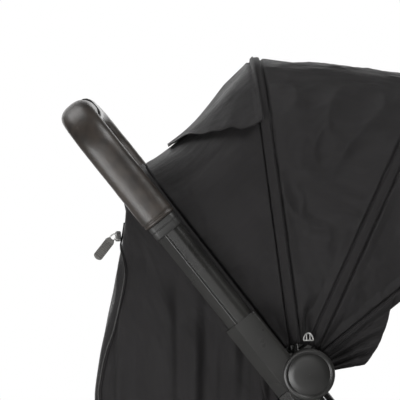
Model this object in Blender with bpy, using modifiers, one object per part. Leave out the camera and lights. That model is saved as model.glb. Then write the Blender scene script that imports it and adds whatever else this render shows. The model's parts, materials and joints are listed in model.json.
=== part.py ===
"""Compact stroller with a folding U handle, a pivoting canopy and a reclining seat.

Metres, +Z up, +X forward. The origin is on the floor under the middle of the stroller.
Side views are drawn from the fold hub: x forward of its axis, z above its axis.
Run it with: blender --background --python part.py
"""

import math

import bmesh
import bpy
from mathutils import Matrix, Vector

# Overall stance
HUB_X = -0.054
SEAT_HALF_WIDTH = 0.178
RAIL_HALF_SPAN = SEAT_HALF_WIDTH + 0.022
RAIL_SLOPE = math.radians(51.45)
RAIL_BEHIND_HUB = 0.0252
LOWER_LENGTH = 0.560
SWIVEL_BOTTOM_Z = 0.165
SWIVEL_BELOW_TUBE = 0.046339
SWIVEL_AHEAD_OF_TUBE = 0.055718
HUB_ABOVE_TUBE = LOWER_LENGTH * math.sin(RAIL_SLOPE) + RAIL_BEHIND_HUB * math.cos(RAIL_SLOPE)
HUB_Z = SWIVEL_BOTTOM_Z + SWIVEL_BELOW_TUBE + HUB_ABOVE_TUBE
TUBE_END_X = LOWER_LENGTH * math.cos(RAIL_SLOPE) - RAIL_BEHIND_HUB * math.sin(RAIL_SLOPE)
CLEARANCE = 0.0003
ROUND_STEPS = 20
WHEEL_STEPS = 20
SMALL_STEPS = 14

# Handle tube, one bent D section
TUBE_WIDTH = 0.034
TUBE_DEPTH = 0.020
TUBE_CREASE = 0.006
TUBE_FACET_DROP = 0.006
TUBE_CORNER = 0.005
HANDLE_REACH = 0.418
HANDLE_BEND = 0.055
TUBE_SOCKET_START = 0.046

# Grips, collars and the release housing
GRIP_WIDTH = 0.041
GRIP_DEPTH = 0.032
GRIP_START = 0.256
COLLAR_LENGTH = 0.018
COLLAR_WIDTH = 0.037
COLLAR_DEPTH = 0.025
HOUSING_HALF_LENGTH = 0.045
HOUSING_WIDTH = 0.045
HOUSING_DEPTH = 0.035
HOUSING_CORNER = 0.012
RELEASE_RADIUS = 0.011
RELEASE_PROUD = 0.004
RELEASE_TRAVEL = 0.0035
RELEASE_POCKET = 0.0045
RELEASE_OFFSET = 0.012
LOCK_LENGTH = 0.012
LOCK_WIDTH = 0.008
LOCK_PROUD = 0.002
LOCK_TRAVEL = 0.008
LOCK_POCKET = 0.0025
LOCK_OFFSET = -0.020

# Fold hub
SLEEVE_LENGTH = 0.101
SLEEVE_WIDTH = 0.043
SLEEVE_DEPTH = 0.027
SLEEVE_CREASE = 0.0084
SLEEVE_FACET_DROP = 0.007
KNUCKLE_RADIUS = 0.030
HUB_PIN_RADIUS = 0.005
HUB_FLANGE_RADIUS = 0.020
HUB_FLANGE_DEPTH = 0.003
HUB_CAP_RADIUS = 0.031
HUB_CAP_INNER = 0.0262
HUB_CAP_DEPTH = 0.008

# Lower tubes and the front housings
SOCKET_LENGTH = 0.060
SOCKET_WALL = 0.004
SWIVEL_X = TUBE_END_X + SWIVEL_AHEAD_OF_TUBE
FRONT_HALF_TRACK = RAIL_HALF_SPAN - 0.022
SWIVEL_BOSS_RADIUS = 0.019
SWIVEL_TOP_Z = SWIVEL_BOTTOM_Z + 0.057
STEM_RADIUS = 0.009
STEM_LENGTH = 0.042
FOOTREST_ALONG = LOWER_LENGTH - 0.105
FOOTREST_RADIUS = 0.009

# Front forks and wheels
FRONT_WHEEL_RADIUS = 0.065
FRONT_WHEEL_WIDTH = 0.026
FORK_TRAIL = 0.035
FORK_PLATE = 0.0045
FORK_GAP = 0.0035
FORK_BRIDGE_Z = 0.136
FORK_TOP_RADIUS = 0.017
FORK_EYE_RADIUS = 0.011
AXLE_RADIUS = 0.005
AXLE_PROUD = 0.002
TYRE_SECTION = 0.014

# Rear legs, axle, brake and wheels
LEG_PIVOT_ALONG = 0.130
LEG_WIDTH = 0.026
LEG_DEPTH = 0.016
LEG_GAP = 0.0025
LEG_PIN_RADIUS = 0.0055
REAR_AXLE_X = -0.215
REAR_WHEEL_RADIUS = 0.075
REAR_WHEEL_WIDTH = 0.028
WHEEL_SIDE_GAP = 0.003
BRAKE_BAR_FROM_AXLE = 0.042
BRAKE_BAR_RADIUS = 0.008
PEDAL_RING = 0.013
PEDAL_HALF_WIDTH = 0.035
PEDAL_Y = -0.100
PEDAL_REACH = 0.052
SPOKE_COUNT = 5
RIM_WEB = 0.008

# Seat
SEAT_Z = -0.200
SEAT_REAR_X = -0.055
SEAT_FRONT_X = 0.215
SEAT_TUBE_RADIUS = 0.008
SEAT_SHELF_RADIUS = 0.010
SEAT_CORNER = 0.035
SEAT_BOARD_DEPTH = 0.006
SEAT_BOARD_MARGIN = 0.020
SEAT_PAD_DEPTH = 0.030
PAD_RIM = 0.010
SEAT_PAD_HALF_WIDTH = SEAT_HALF_WIDTH - 0.032
BUCKLE_X = 0.070
BUCKLE_SIZE = (0.016, 0.044, 0.040)
BUCKLE_LIFT = 0.026
BUCKLE_BUTTON_RADIUS = 0.010
BUCKLE_BUTTON_PROUD = 0.002
BUCKLE_BUTTON_TRAVEL = 0.0015
BUCKLE_POCKET = 0.004
WEBBING = 0.002
WEBBING_WIDTH = 0.025

# Backrest
BACK_LENGTH = 0.440
BACK_LEAN = math.radians(21.5)
BACK_BOARD_DEPTH = 0.008
BACK_CORNER = 0.045
BACK_PAD_DEPTH = 0.034
BACK_PAD_MARGIN = 0.008
BACK_KNUCKLE_LENGTH = 0.040
KNUCKLE_WALL = 0.005
SHOULDER_HEIGHT = 0.300
SHOULDER_HALF_SPACING = 0.048

# Calf rest
CALF_LENGTH = 0.148
CALF_LEAN = math.radians(12)
CALF_HALF_WIDTH = SEAT_HALF_WIDTH - 0.033
CALF_BOARD_DEPTH = 0.007
CALF_PAD_DEPTH = 0.016
CALF_PAD_RIM = 0.006
CALF_KNUCKLE_LENGTH = 0.036
CALF_KNUCKLE_WALL = 0.004

# Basket
BASKET_REAR_X = -0.160
BASKET_HALF_WIDTH = SEAT_HALF_WIDTH - 0.018
BASKET_BOTTOM_Z = 0.175
BASKET_REAR_Z = 0.315
BASKET_FRONT_Z = 0.300
BASKET_WALL = 0.003
BASKET_CORNER = 0.022
BASKET_SPREAD = 0.018
BASKET_TAB_WIDTH = 0.022
BASKET_TAB_X = -0.010
BASKET_TAB_LAP = 0.015

# Canopy
CANOPY_X = -0.010
CANOPY_Z = -0.006
STUD_RADIUS = 0.004
BOW_RADIUS = 0.0025
BOW_EYE_RADIUS = 0.008
BOW_LAYER = 0.0053
BOW_FABRIC_GAP = 0.0018
FABRIC = 0.0020
PANEL_SEAM = 0.0008
CANOPY_START = 0.040
CANOPY_CORNER = 0.110
CANOPY_CROWN = 0.012
ARCH_STEPS = 5
CLOTH_COLUMNS = 26
CLOTH_ROWS = 4
REAR_BOW_ANGLE = math.radians(97.7)
REAR_BOW_REACH = 0.3895
REAR_BOW_HALF_WIDTH = RAIL_HALF_SPAN - 0.0205
MIDDLE_BOW_ANGLE = math.radians(65.6)
MIDDLE_BOW_REACH = 0.398
FRONT_BOW_ANGLE = math.radians(39.0)
FRONT_BOW_REACH = 0.375
BOW_TAPER = 0.0165
NAPE_ANGLE = math.radians(128.0)
NAPE_REACH = 0.316
FLAP_LIFT = 0.0032
FLAP_SEAM = 0.0005
FLAP_CLOTH = 0.0018
FLAP_FLARE = 0.007
CANOPY_SLIDER = (-0.0024, 0.043)
CANOPY_SLIDER_HALF_WIDTH = 0.007
CANOPY_SLIDER_HEIGHT = 0.009
CANOPY_SLIDER_DEPTH = 0.0036

# Seat surround: the side wings and the cloth that hangs behind the backrest
SURROUND_HALF_WIDTH = RAIL_HALF_SPAN - 0.0335
SURROUND_CLOTH = 0.003
SURROUND_CORNER = 0.040
SURROUND_TIGHT_CORNER = 0.006
SURROUND_BOTTOM = -0.181
SURROUND_TOP = 0.224
SURROUND_FOLD = 0.0035
SURROUND_FOLD_COUNT = 11
SURROUND_COLUMNS = 46
SURROUND_ROWS = 7
SURROUND_CROWDING = 1.5
SURROUND_REAR = (
    (-0.181, -0.100),
    (-0.160, -0.185),
    (-0.120, -0.235),
    (-0.050, -0.258),
    (0.017, -0.253),
    (0.100, -0.236),
    (0.193, -0.219),
    (0.224, -0.231),
)
SURROUND_FRONT = (
    (-0.181, 0.050),
    (-0.120, 0.018),
    (-0.060, -0.026),
    (-0.020, -0.042),
    (0.030, -0.052),
    (0.110, -0.108),
    (0.224, -0.190),
)
SLIDER_Z = 0.163
SLIDER_COLUMN = 10
SLIDER_WIDTH = 0.007
SLIDER_DEPTH = 0.0066
SLIDER_LENGTH = 0.012
SLIDER_SEAT = 0.0004
PULL_SEAT = 0.0021
PULL_LENGTH = 0.034
PULL_WIDTH = 0.010
PULL_DEPTH = 0.0026
PULL_SLOPE = math.radians(52)

RAIL_UP = Vector((-math.cos(RAIL_SLOPE), 0, math.sin(RAIL_SLOPE)))
RAIL_FRONT = Vector((math.sin(RAIL_SLOPE), 0, math.cos(RAIL_SLOPE)))
HUB = Vector((HUB_X, 0, HUB_Z))
RAIL_FOOT = HUB - RAIL_FRONT * RAIL_BEHIND_HUB
SIDES = (("near", -1), ("far", 1))


# Scene helpers

def clear_scene():
    """Removes every object that the scene starts with."""
    for item in list(bpy.data.objects):
        bpy.data.objects.remove(item)


def make_collection(name):
    """Adds a collection under the scene's own."""
    group = bpy.data.collections.new(name)
    bpy.context.scene.collection.children.link(group)
    return group


def make_material(name, color, roughness, metallic=0.0):
    """Makes a Principled material."""
    mat = bpy.data.materials.new(name)
    mat.use_nodes = True
    shader = mat.node_tree.nodes["Principled BSDF"]
    shader.inputs["Base Color"].default_value = (*color, 1.0)
    shader.inputs["Roughness"].default_value = roughness
    shader.inputs["Metallic"].default_value = metallic
    return mat


clear_scene()
PARTS = make_collection("compact_stroller")
CUTTERS = make_collection("cutters")


def own_material(name, look):
    """Copies a base finish under the piece's own name."""
    mat = look.copy()
    mat.name = name + "_finish"
    return mat


def adopt(item, name, look, smooth_angle=math.radians(35)):
    """Names a finished mesh object, gives it its finish and puts it with the parts."""
    item.name = name
    item.data.name = name
    move_to(item, PARTS)
    item.data.materials.clear()
    item.data.materials.append(own_material(name, look))
    item.data.shade_smooth()
    item.data.set_sharp_from_angle(angle=smooth_angle)
    return item


def move_to(item, group):
    """Leaves an object in one collection only."""
    for old in list(item.users_collection):
        old.objects.unlink(item)
    group.objects.link(item)


def as_cutter(item):
    """Puts a guide mesh with the cutters."""
    move_to(item, CUTTERS)
    item.hide_render = True
    item.display_type = "WIRE"
    return item


def combine(item, other, operation):
    """Cuts, joins or crosses a mesh with another one."""
    as_cutter(other)
    step = item.modifiers.new(operation.lower(), "BOOLEAN")
    step.operation = operation
    step.object = other
    step.solver = "EXACT"
    return item


def cut(item, *others):
    """Cuts each cutter out of the item."""
    for other in others:
        combine(item, other, "DIFFERENCE")
    return item


def join(item, *others):
    """Joins each mesh to the item."""
    for other in others:
        combine(item, other, "UNION")
    return item


def soften(item, width, segments=1):
    """Rounds the sharp edges of a mesh."""
    step = item.modifiers.new("rounding", "BEVEL")
    step.width = width
    step.segments = segments
    step.limit_method = "ANGLE"
    step.angle_limit = math.radians(40)
    return item


def hub_point(x, y, z):
    """Places a point of the side view in the world."""
    return HUB + Vector((x, y, z))


def axes_matrix(origin, x_axis, y_axis, z_axis):
    """Builds a placement from an origin and three axes."""
    turn = Matrix((x_axis, y_axis, z_axis)).transposed()
    return Matrix.Translation(origin) @ turn.to_4x4()


def side_plane(origin):
    """Places a drawing with X forward, Y up and its depth across the stroller."""
    return axes_matrix(origin, Vector((1, 0, 0)), Vector((0, 0, 1)), Vector((0, -1, 0)))


def rail_plane(origin):
    """Places a drawing with X across the stroller and Y up along the rails."""
    return axes_matrix(origin, Vector((0, 1, 0)), RAIL_UP, RAIL_FRONT)


def leaning_plane(origin, lean):
    """Places a drawing with X across and Y up a panel that leans back, depth to the front."""
    up = Vector((-math.sin(lean), 0, math.cos(lean)))
    front = Vector((math.cos(lean), 0, math.sin(lean)))
    return axes_matrix(origin, Vector((0, 1, 0)), up, front)


# Outline helpers

def rounded(corners, steps=4, closed=True):
    """Turns (x, y, radius) corners into points, with an arc at each rounded corner."""
    points = []
    count = len(corners)
    for index, (x, y, radius) in enumerate(corners):
        here = Vector((x, y))
        if radius <= 0 or (not closed and index in (0, count - 1)):
            points.append(here)
            continue
        before = Vector(corners[index - 1][:2]) - here
        after = Vector(corners[(index + 1) % count][:2]) - here
        half = before.angle(after) / 2
        trim = radius / math.tan(half)
        start = here + before.normalized() * trim
        centre = here + (before.normalized() + after.normalized()).normalized() * radius / math.sin(half)
        sweep = math.pi - 2 * half
        turn = -1 if before.x * after.y - before.y * after.x > 0 else 1
        arm = start - centre
        for step in range(steps + 1):
            angle = turn * sweep * step / steps
            points.append(centre + Matrix.Rotation(angle, 2) @ arm)
    return points


def circle(x, y, radius, steps=ROUND_STEPS):
    """Points round a circle."""
    turn = 2 * math.pi / steps
    return [Vector((x + radius * math.cos(i * turn), y + radius * math.sin(i * turn))) for i in range(steps)]


def link_outline(start, start_radius, end, end_radius, steps=6):
    """The outline of a flat link: two round ends and the straight sides that touch them."""
    start = Vector(start)
    end = Vector(end)
    axis = end - start
    heading = math.atan2(axis.y, axis.x)
    spread = math.acos((start_radius - end_radius) / axis.length)
    points = []
    for centre, radius, low, high in (
        (end, end_radius, heading - spread, heading + spread),
        (start, start_radius, heading + spread, heading - spread + 2 * math.pi),
    ):
        for step in range(steps + 1):
            angle = low + (high - low) * step / steps
            points.append(centre + radius * Vector((math.cos(angle), math.sin(angle))))
    return points


def resample(points, count):
    """Spreads a number of points evenly along a path."""
    lengths = [0.0]
    for before, after in zip(points, points[1:]):
        lengths.append(lengths[-1] + (after - before).length)
    spread = []
    segment = 0
    for index in range(count):
        target = lengths[-1] * index / (count - 1)
        while segment < len(points) - 2 and lengths[segment + 1] < target:
            segment += 1
        share = (target - lengths[segment]) / (lengths[segment + 1] - lengths[segment])
        spread.append(points[segment].lerp(points[segment + 1], share))
    return spread


def read_curve(knots, z):
    """Reads a smooth value between (z, value) knots with Catmull-Rom slopes."""
    index = 0
    while index < len(knots) - 2 and knots[index + 1][0] < z:
        index += 1
    low = knots[index]
    high = knots[index + 1]
    before = knots[max(index - 1, 0)]
    after = knots[min(index + 2, len(knots) - 1)]
    width = high[0] - low[0]
    low_slope = (high[1] - before[1]) / (high[0] - before[0]) * width
    high_slope = (after[1] - low[1]) / (after[0] - low[0]) * width
    t = min(max((z - low[0]) / width, 0.0), 1.0)
    a = 2 * t ** 3 - 3 * t ** 2 + 1
    b = t ** 3 - 2 * t ** 2 + t
    c = -2 * t ** 3 + 3 * t ** 2
    d = t ** 3 - t ** 2
    return a * low[1] + b * low_slope + c * high[1] + d * high_slope


def tube_section(width, depth, crease, facet_drop, corner, outer=-1):
    """The D section of a rail: a flat outer face, a facet behind its crease and round corners.

    X is the depth, with the outer face on the side that outer names. Y is the width, front up.
    """
    half = width / 2
    deep = depth / 2
    corners = [
        (-deep, -crease, 0),
        (-deep + facet_drop, -half, 0),
        (deep, -half, corner),
        (deep, half, corner),
        (-deep, half, corner),
    ]
    if outer > 0:
        corners = [(-x, y, radius) for x, y, radius in reversed(corners)]
    return rounded(corners, 3)


def handle_section(grow=0.0, outer=-1):
    """The handle tube's section, grown all round by a clearance."""
    return tube_section(
        TUBE_WIDTH + 2 * grow, TUBE_DEPTH + 2 * grow, TUBE_CREASE, TUBE_FACET_DROP, TUBE_CORNER, outer
    )


# Solid helpers

def curve_data(name, outlines, closed=True, flat=True):
    """Makes a curve of straight pieces through each outline's points."""
    data = bpy.data.curves.new(name, "CURVE")
    data.dimensions = "2D" if flat else "3D"
    for outline in outlines:
        spline = data.splines.new("POLY")
        spline.points.add(len(outline) - 1)
        for point, place in zip(spline.points, outline):
            point.co = (*place, 1.0) if len(place) == 3 else (*place, 0.0, 1.0)
        spline.use_cyclic_u = closed
    return data


def curve_to_mesh(name, data, placement):
    """Turns a curve into a closed mesh object with its caps welded."""
    holder = bpy.data.objects.new(name + "_curve", data)
    bpy.context.scene.collection.objects.link(holder)
    holder.matrix_world = placement
    bpy.context.view_layer.update()
    graph = bpy.context.evaluated_depsgraph_get()
    mesh = bpy.data.meshes.new_from_object(holder.evaluated_get(graph))
    work = bmesh.new()
    work.from_mesh(mesh)
    bmesh.ops.remove_doubles(work, verts=work.verts, dist=0.00001)
    bmesh.ops.recalc_face_normals(work, faces=work.faces)
    work.to_mesh(mesh)
    work.free()
    item = bpy.data.objects.new(name, mesh)
    bpy.context.scene.collection.objects.link(item)
    item.matrix_world = placement
    bpy.data.objects.remove(holder)
    return item


def prism(name, outlines, depth, placement):
    """Extrudes flat outlines evenly to both sides of their drawing; later outlines are holes."""
    data = curve_data(name, outlines)
    data.fill_mode = "BOTH"
    data.extrude = depth / 2
    return curve_to_mesh(name, data, placement)


def swept(name, section, path, placement):
    """Sweeps a closed section along a flat path."""
    profile = bpy.data.objects.new(name + "_section", curve_data(name + "_section", [section]))
    bpy.context.scene.collection.objects.link(profile)
    data = curve_data(name, [path], closed=False, flat=False)
    data.bevel_mode = "OBJECT"
    data.bevel_object = profile
    data.use_fill_caps = True
    item = curve_to_mesh(name, data, placement)
    bpy.data.objects.remove(profile)
    return item


def tube(name, path, radius, closed=False, resolution=3):
    """A round tube along world points."""
    data = curve_data(name, [path], closed=closed, flat=False)
    data.bevel_depth = radius
    data.bevel_resolution = resolution
    data.use_fill_caps = not closed
    return curve_to_mesh(name, data, Matrix.Identity(4))


def rod(name, radius, start, end, steps=ROUND_STEPS):
    """A cylinder between two points."""
    start = Vector(start)
    end = Vector(end)
    axis = end - start
    bpy.ops.mesh.primitive_cylinder_add(vertices=steps, radius=radius, depth=axis.length)
    item = bpy.context.active_object
    item.name = name
    item.rotation_mode = "QUATERNION"
    item.rotation_quaternion = axis.to_track_quat("Z", "Y")
    item.location = (start + end) / 2
    return item


def block(name, low, high):
    """A box between two corners, with its size already applied."""
    low = Vector(low)
    high = Vector(high)
    work = bmesh.new()
    size = Vector((abs(a - b) for a, b in zip(low, high)))
    bmesh.ops.create_cube(work, size=1.0, matrix=Matrix.Diagonal((*size, 1.0)))
    item = mesh_object(name, work)
    item.location = (low + high) / 2
    return item


def mesh_object(name, work):
    """Turns a bmesh into an object."""
    mesh = bpy.data.meshes.new(name)
    work.to_mesh(mesh)
    work.free()
    item = bpy.data.objects.new(name, mesh)
    bpy.context.scene.collection.objects.link(item)
    return item


def turned(name, profile, centre, steps=WHEEL_STEPS):
    """Turns a (radius, height) profile, drawn upwards outside, round an axle across the stroller."""
    work = bmesh.new()
    ring = [work.verts.new((radius, 0, height)) for radius, height in reversed(profile)]
    for first, second in zip(ring, ring[1:] + ring[:1]):
        work.edges.new((first, second))
    item = mesh_object(name, work)
    spin = item.modifiers.new("turning", "SCREW")
    spin.axis = "Z"
    spin.steps = steps
    spin.render_steps = steps
    spin.use_merge_vertices = True
    spin.merge_threshold = 0.00001
    spin.use_smooth_shade = True
    upright = Matrix.Rotation(math.pi / 2, 4, "X") @ Matrix.Rotation(math.pi / steps, 4, "Z")
    item.matrix_world = Matrix.Translation(centre) @ upright
    return item


def sheet(name, columns, rows, place, thickness):
    """A curved cloth: a grid placed by a function of (u, v), thickened towards u crossed with v."""
    work = bmesh.new()
    bmesh.ops.create_grid(work, x_segments=columns, y_segments=rows, size=0.5)
    for point in work.verts:
        point.co = place(point.co.x + 0.5, point.co.y + 0.5)
    item = mesh_object(name, work)
    wall = item.modifiers.new("cloth", "SOLIDIFY")
    wall.thickness = thickness
    wall.offset = 1.0
    return item


def cushion(name, width, length, depth, rim, channels, placement, columns=8, rows=14):
    """A sewn pad: flat behind, crowned in front, its sides drawn in between the corners."""
    work = bmesh.new()
    bmesh.ops.create_grid(work, x_segments=columns, y_segments=rows, size=0.5)
    bmesh.ops.recalc_face_normals(work, faces=work.faces)
    front = bmesh.ops.extrude_face_region(work, geom=work.faces[:])["geom"]
    for point in front:
        if isinstance(point, bmesh.types.BMVert):
            u = 2 * point.co.x
            v = 2 * point.co.y
            swell = (1 - u ** 4) * (1 - v ** 6)
            channel = 1 - 0.28 * abs(math.cos(math.pi * channels * (v + 1) / 2)) ** 6
            point.co.z = rim + (depth - rim) * swell ** 0.5 * channel
    for point in work.verts:
        u = 2 * point.co.x
        v = 2 * point.co.y
        draw_in = 1 - 0.02 * (1 - v * v) * u * u
        corner = 1 - 0.05 * u * u * v * v
        point.co.x *= width * draw_in * corner
        point.co.y *= length * (1 - 0.015 * (1 - u * u) * v * v) * corner
    bmesh.ops.recalc_face_normals(work, faces=work.faces)
    item = mesh_object(name, work)
    item.matrix_world = placement
    return item


def hold(name, location, items, parent=None):
    """Parents pieces to an empty on their joint's axis."""
    pivot = bpy.data.objects.new(name, None)
    pivot.empty_display_size = 0.03
    PARTS.objects.link(pivot)
    place = Matrix.Translation(location)
    if parent is not None:
        pivot.parent = parent
        pivot.matrix_parent_inverse = Matrix.Translation(-parent["axis_point"])
    pivot.matrix_basis = place
    pivot["axis_point"] = location
    for item in items:
        item.parent = pivot
        item.matrix_parent_inverse = place.inverted()
    return pivot


# Finishes
FRAME_BLACK = make_material("frame_black", (0.030, 0.030, 0.027), 0.45, 0.3)
PLASTIC_BLACK = make_material("plastic_black", (0.024, 0.024, 0.023), 0.55)
LEATHERETTE = make_material("leatherette", (0.020, 0.017, 0.015), 0.42)
CLOTH_BLACK = make_material("cloth_black", (0.016, 0.016, 0.017), 0.95)
PAD_BLACK = make_material("pad_black", (0.020, 0.020, 0.021), 0.9)
WEBBING_BLACK = make_material("webbing_black", (0.014, 0.014, 0.015), 0.85)
STEEL = make_material("steel", (0.55, 0.55, 0.55), 0.3, 1.0)
RUBBER = make_material("rubber", (0.018, 0.018, 0.018), 0.8)
SOFT_GREY = make_material("soft_grey", (0.12, 0.12, 0.12), 0.7)


# Fold hub and handle

def rail_point(side, along, front=0.0):
    """A point of a rail: along it from the hub's foot, and in front of its middle line."""
    point = RAIL_FOOT + RAIL_UP * along + RAIL_FRONT * front
    point.y = side * RAIL_HALF_SPAN
    return point


def rail_prism(name, section, side, start, end):
    """A straight length of rail between two distances along it."""
    middle = rail_point(side, (start + end) / 2)
    placement = axes_matrix(middle, Vector((0, 1, 0)), RAIL_FRONT, -RAIL_UP)
    return prism(name, [section], abs(end - start), placement)


def sleeve_section(outer):
    """The hub sleeve's section."""
    return tube_section(SLEEVE_WIDTH, SLEEVE_DEPTH, SLEEVE_CREASE, SLEEVE_FACET_DROP, TUBE_CORNER, outer)


def hub_layer(name, side, radius, inner, outer):
    """A disc round the hub's axis between two distances from the stroller's middle."""
    return rod(name, radius, hub_point(0, side * inner, 0), hub_point(0, side * outer, 0))


SLEEVE_INNER = RAIL_HALF_SPAN - SLEEVE_DEPTH / 2
SLEEVE_OUTER = RAIL_HALF_SPAN + SLEEVE_DEPTH / 2


def build_knuckle(label, side):
    """The handle's half of the fold hub: a sleeve for the tube and an outer disc."""
    body = rail_prism("knuckle", sleeve_section(side), side, CLEARANCE, SLEEVE_LENGTH)
    disc = hub_layer("disc", side, KNUCKLE_RADIUS, RAIL_HALF_SPAN + CLEARANCE, SLEEVE_OUTER - 0.001)
    room = hub_layer("room", side, KNUCKLE_RADIUS + 0.001, SLEEVE_INNER - 0.01, RAIL_HALF_SPAN + CLEARANCE)
    bore = hub_layer("bore", side, HUB_PIN_RADIUS + CLEARANCE, SLEEVE_INNER, SLEEVE_OUTER + 0.01)
    socket = rail_prism(
        "socket", handle_section(CLEARANCE, side), side, TUBE_SOCKET_START - CLEARANCE, SLEEVE_LENGTH + 0.02
    )
    join(body, disc)
    cut(body, room, bore, socket)
    return adopt(body, "handle_knuckle_" + label, FRAME_BLACK)


def build_lower_tube(label, side):
    """The front leg tube, with the inner half of the fold hub and the rear leg's pin."""
    body = rail_prism("lower", handle_section(0.0, side), side, -LOWER_LENGTH, -SLEEVE_LENGTH)
    head = rail_prism("head", sleeve_section(side), side, -SLEEVE_LENGTH - 0.001, -CLEARANCE)
    disc = hub_layer("disc", side, KNUCKLE_RADIUS, SLEEVE_INNER, RAIL_HALF_SPAN - CLEARANCE)
    room = hub_layer("room", side, KNUCKLE_RADIUS + 0.001, RAIL_HALF_SPAN - CLEARANCE, SLEEVE_OUTER + 0.01)
    bore = hub_layer("bore", side, HUB_PIN_RADIUS + CLEARANCE, SLEEVE_INNER - 0.01, SLEEVE_OUTER)
    pivot = rail_point(side, -LEG_PIVOT_ALONG)
    outer = Vector((0, side, 0))
    pin_end = pivot + outer * (leg_y() + LEG_DEPTH / 2 - RAIL_HALF_SPAN)
    pin = rod("pin", LEG_PIN_RADIUS, pivot, pin_end, SMALL_STEPS)
    shelf_start = seat_carrier(side)
    shelf = rod("shelf", SEAT_SHELF_RADIUS, shelf_start, shelf_start - outer * carrier_reach(), SMALL_STEPS)
    join(body, head, disc, pin, shelf)
    cut(body, room, bore)
    return adopt(body, "lower_tube_" + label, FRAME_BLACK)


def leg_y():
    """Distance of a rear leg's middle from the stroller's middle."""
    return RAIL_HALF_SPAN + TUBE_DEPTH / 2 + LEG_GAP + LEG_DEPTH / 2


def seat_carrier(side):
    """The point of a lower tube at the seat rails' height."""
    along = (SEAT_Z - (RAIL_FOOT.z - HUB_Z)) / math.sin(RAIL_SLOPE)
    return rail_point(side, along)


def carrier_reach():
    """How far the seat's carrier stands out from the rail's middle, up to the seat rail."""
    return RAIL_HALF_SPAN - SEAT_HALF_WIDTH - SEAT_TUBE_RADIUS - CLEARANCE


def build_hub_pin(label, side):
    """The hub's rivet, its inner flange and the canopy's stud."""
    inner = SLEEVE_INNER - CLEARANCE
    body = hub_layer("hub_pin", side, HUB_FLANGE_RADIUS, inner - HUB_FLANGE_DEPTH, inner)
    shaft = hub_layer("shaft", side, HUB_PIN_RADIUS, inner - 0.001, SLEEVE_OUTER - 0.001)
    stud = rod(
        "stud",
        STUD_RADIUS,
        hub_point(CANOPY_X, side * (inner - 0.001), CANOPY_Z),
        hub_point(CANOPY_X, side * (bow_half_width(2) - BOW_RADIUS - 0.001), CANOPY_Z),
        SMALL_STEPS,
    )
    join(body, shaft, stud)
    return adopt(body, "hub_pin_" + label, STEEL)


def build_hub_cap(label, side):
    """The round cover on the hub, with a raised rim."""
    rim = HUB_CAP_RADIUS
    back = SLEEVE_OUTER + CLEARANCE
    body = hub_layer("hub_cap", side, rim, back, back + HUB_CAP_DEPTH)
    dish = hub_layer("dish", side, HUB_CAP_INNER, back + HUB_CAP_DEPTH - 0.0015, back + HUB_CAP_DEPTH + 0.01)
    cut(body, dish)
    soften(body, 0.0012)
    return adopt(body, "hub_cap_" + label, PLASTIC_BLACK)


def handle_path(start, stop_half=0.0):
    """The handle's middle line in the rail plane, over the near bend to a distance short of centre."""
    corners = [
        (-RAIL_HALF_SPAN, start, 0),
        (-RAIL_HALF_SPAN, HANDLE_REACH, HANDLE_BEND),
        (-stop_half, HANDLE_REACH, 0),
    ]
    return rounded(corners, 7, closed=False)


def build_handle_tube():
    """The one bent tube from sleeve to sleeve."""
    near = handle_path(TUBE_SOCKET_START)
    far = [Vector((-point.x, point.y)) for point in reversed(near[:-1])]
    body = swept("handle_tube", handle_section(), near[:-1] + far, rail_plane(RAIL_FOOT))
    return adopt(body, "handle_tube", FRAME_BLACK)


def oval(width, depth, steps=12):
    """An egg-smooth grip section, a little squarer than an ellipse."""
    points = []
    for index in range(steps):
        angle = 2 * math.pi * index / steps
        x = math.cos(angle)
        y = math.sin(angle)
        points.append(
            Vector((
                math.copysign(abs(x) ** 0.85, x) * depth / 2,
                math.copysign(abs(y) ** 0.85, y) * width / 2,
            ))
        )
    return points


def build_grip(label, side):
    """A leatherette grip from the arm, round the bend, up to the release housing."""
    path = handle_path(GRIP_START, HOUSING_HALF_LENGTH + CLEARANCE)
    hole_path = handle_path(GRIP_START - 0.01, HOUSING_HALF_LENGTH - 0.01)
    hole_section = handle_section(CLEARANCE)
    section = oval(GRIP_WIDTH, GRIP_DEPTH)
    if side > 0:
        path = [Vector((-point.x, point.y)) for point in reversed(path)]
        hole_path = [Vector((-point.x, point.y)) for point in reversed(hole_path)]
    body = swept("grip", section, path, rail_plane(RAIL_FOOT))
    hole = swept("grip_hole", hole_section, hole_path, rail_plane(RAIL_FOOT))
    cut(body, hole)
    return adopt(body, "grip_" + label, LEATHERETTE)


def build_collar(label, side):
    """The end ring under a grip."""
    outline = rounded(
        [
            (-COLLAR_DEPTH / 2, -COLLAR_WIDTH / 2, 0.007),
            (COLLAR_DEPTH / 2, -COLLAR_WIDTH / 2, 0.007),
            (COLLAR_DEPTH / 2, COLLAR_WIDTH / 2, 0.007),
            (-COLLAR_DEPTH / 2, COLLAR_WIDTH / 2, 0.007),
        ],
        3,
    )
    top = GRIP_START - CLEARANCE
    middle = rail_point(side, top - COLLAR_LENGTH / 2)
    placement = axes_matrix(middle, Vector((0, 1, 0)), RAIL_FRONT, -RAIL_UP)
    body = prism("collar", [outline, handle_section(CLEARANCE, side)], COLLAR_LENGTH, placement)
    return adopt(body, "grip_collar_" + label, PLASTIC_BLACK)


def crossbar_point(across, up=0.0, front=0.0):
    """A point near the handle's crossbar."""
    point = RAIL_FOOT + RAIL_UP * (HANDLE_REACH + up) + RAIL_FRONT * front
    point.y = across
    return point


def crossbar_prism(name, outlines, start, end):
    """Extrudes a section drawn across the crossbar: X up the rails, Y to their front."""
    middle = crossbar_point((start + end) / 2)
    placement = axes_matrix(middle, RAIL_UP, RAIL_FRONT, Vector((0, 1, 0)))
    return prism(name, outlines, abs(end - start), placement)


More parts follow.
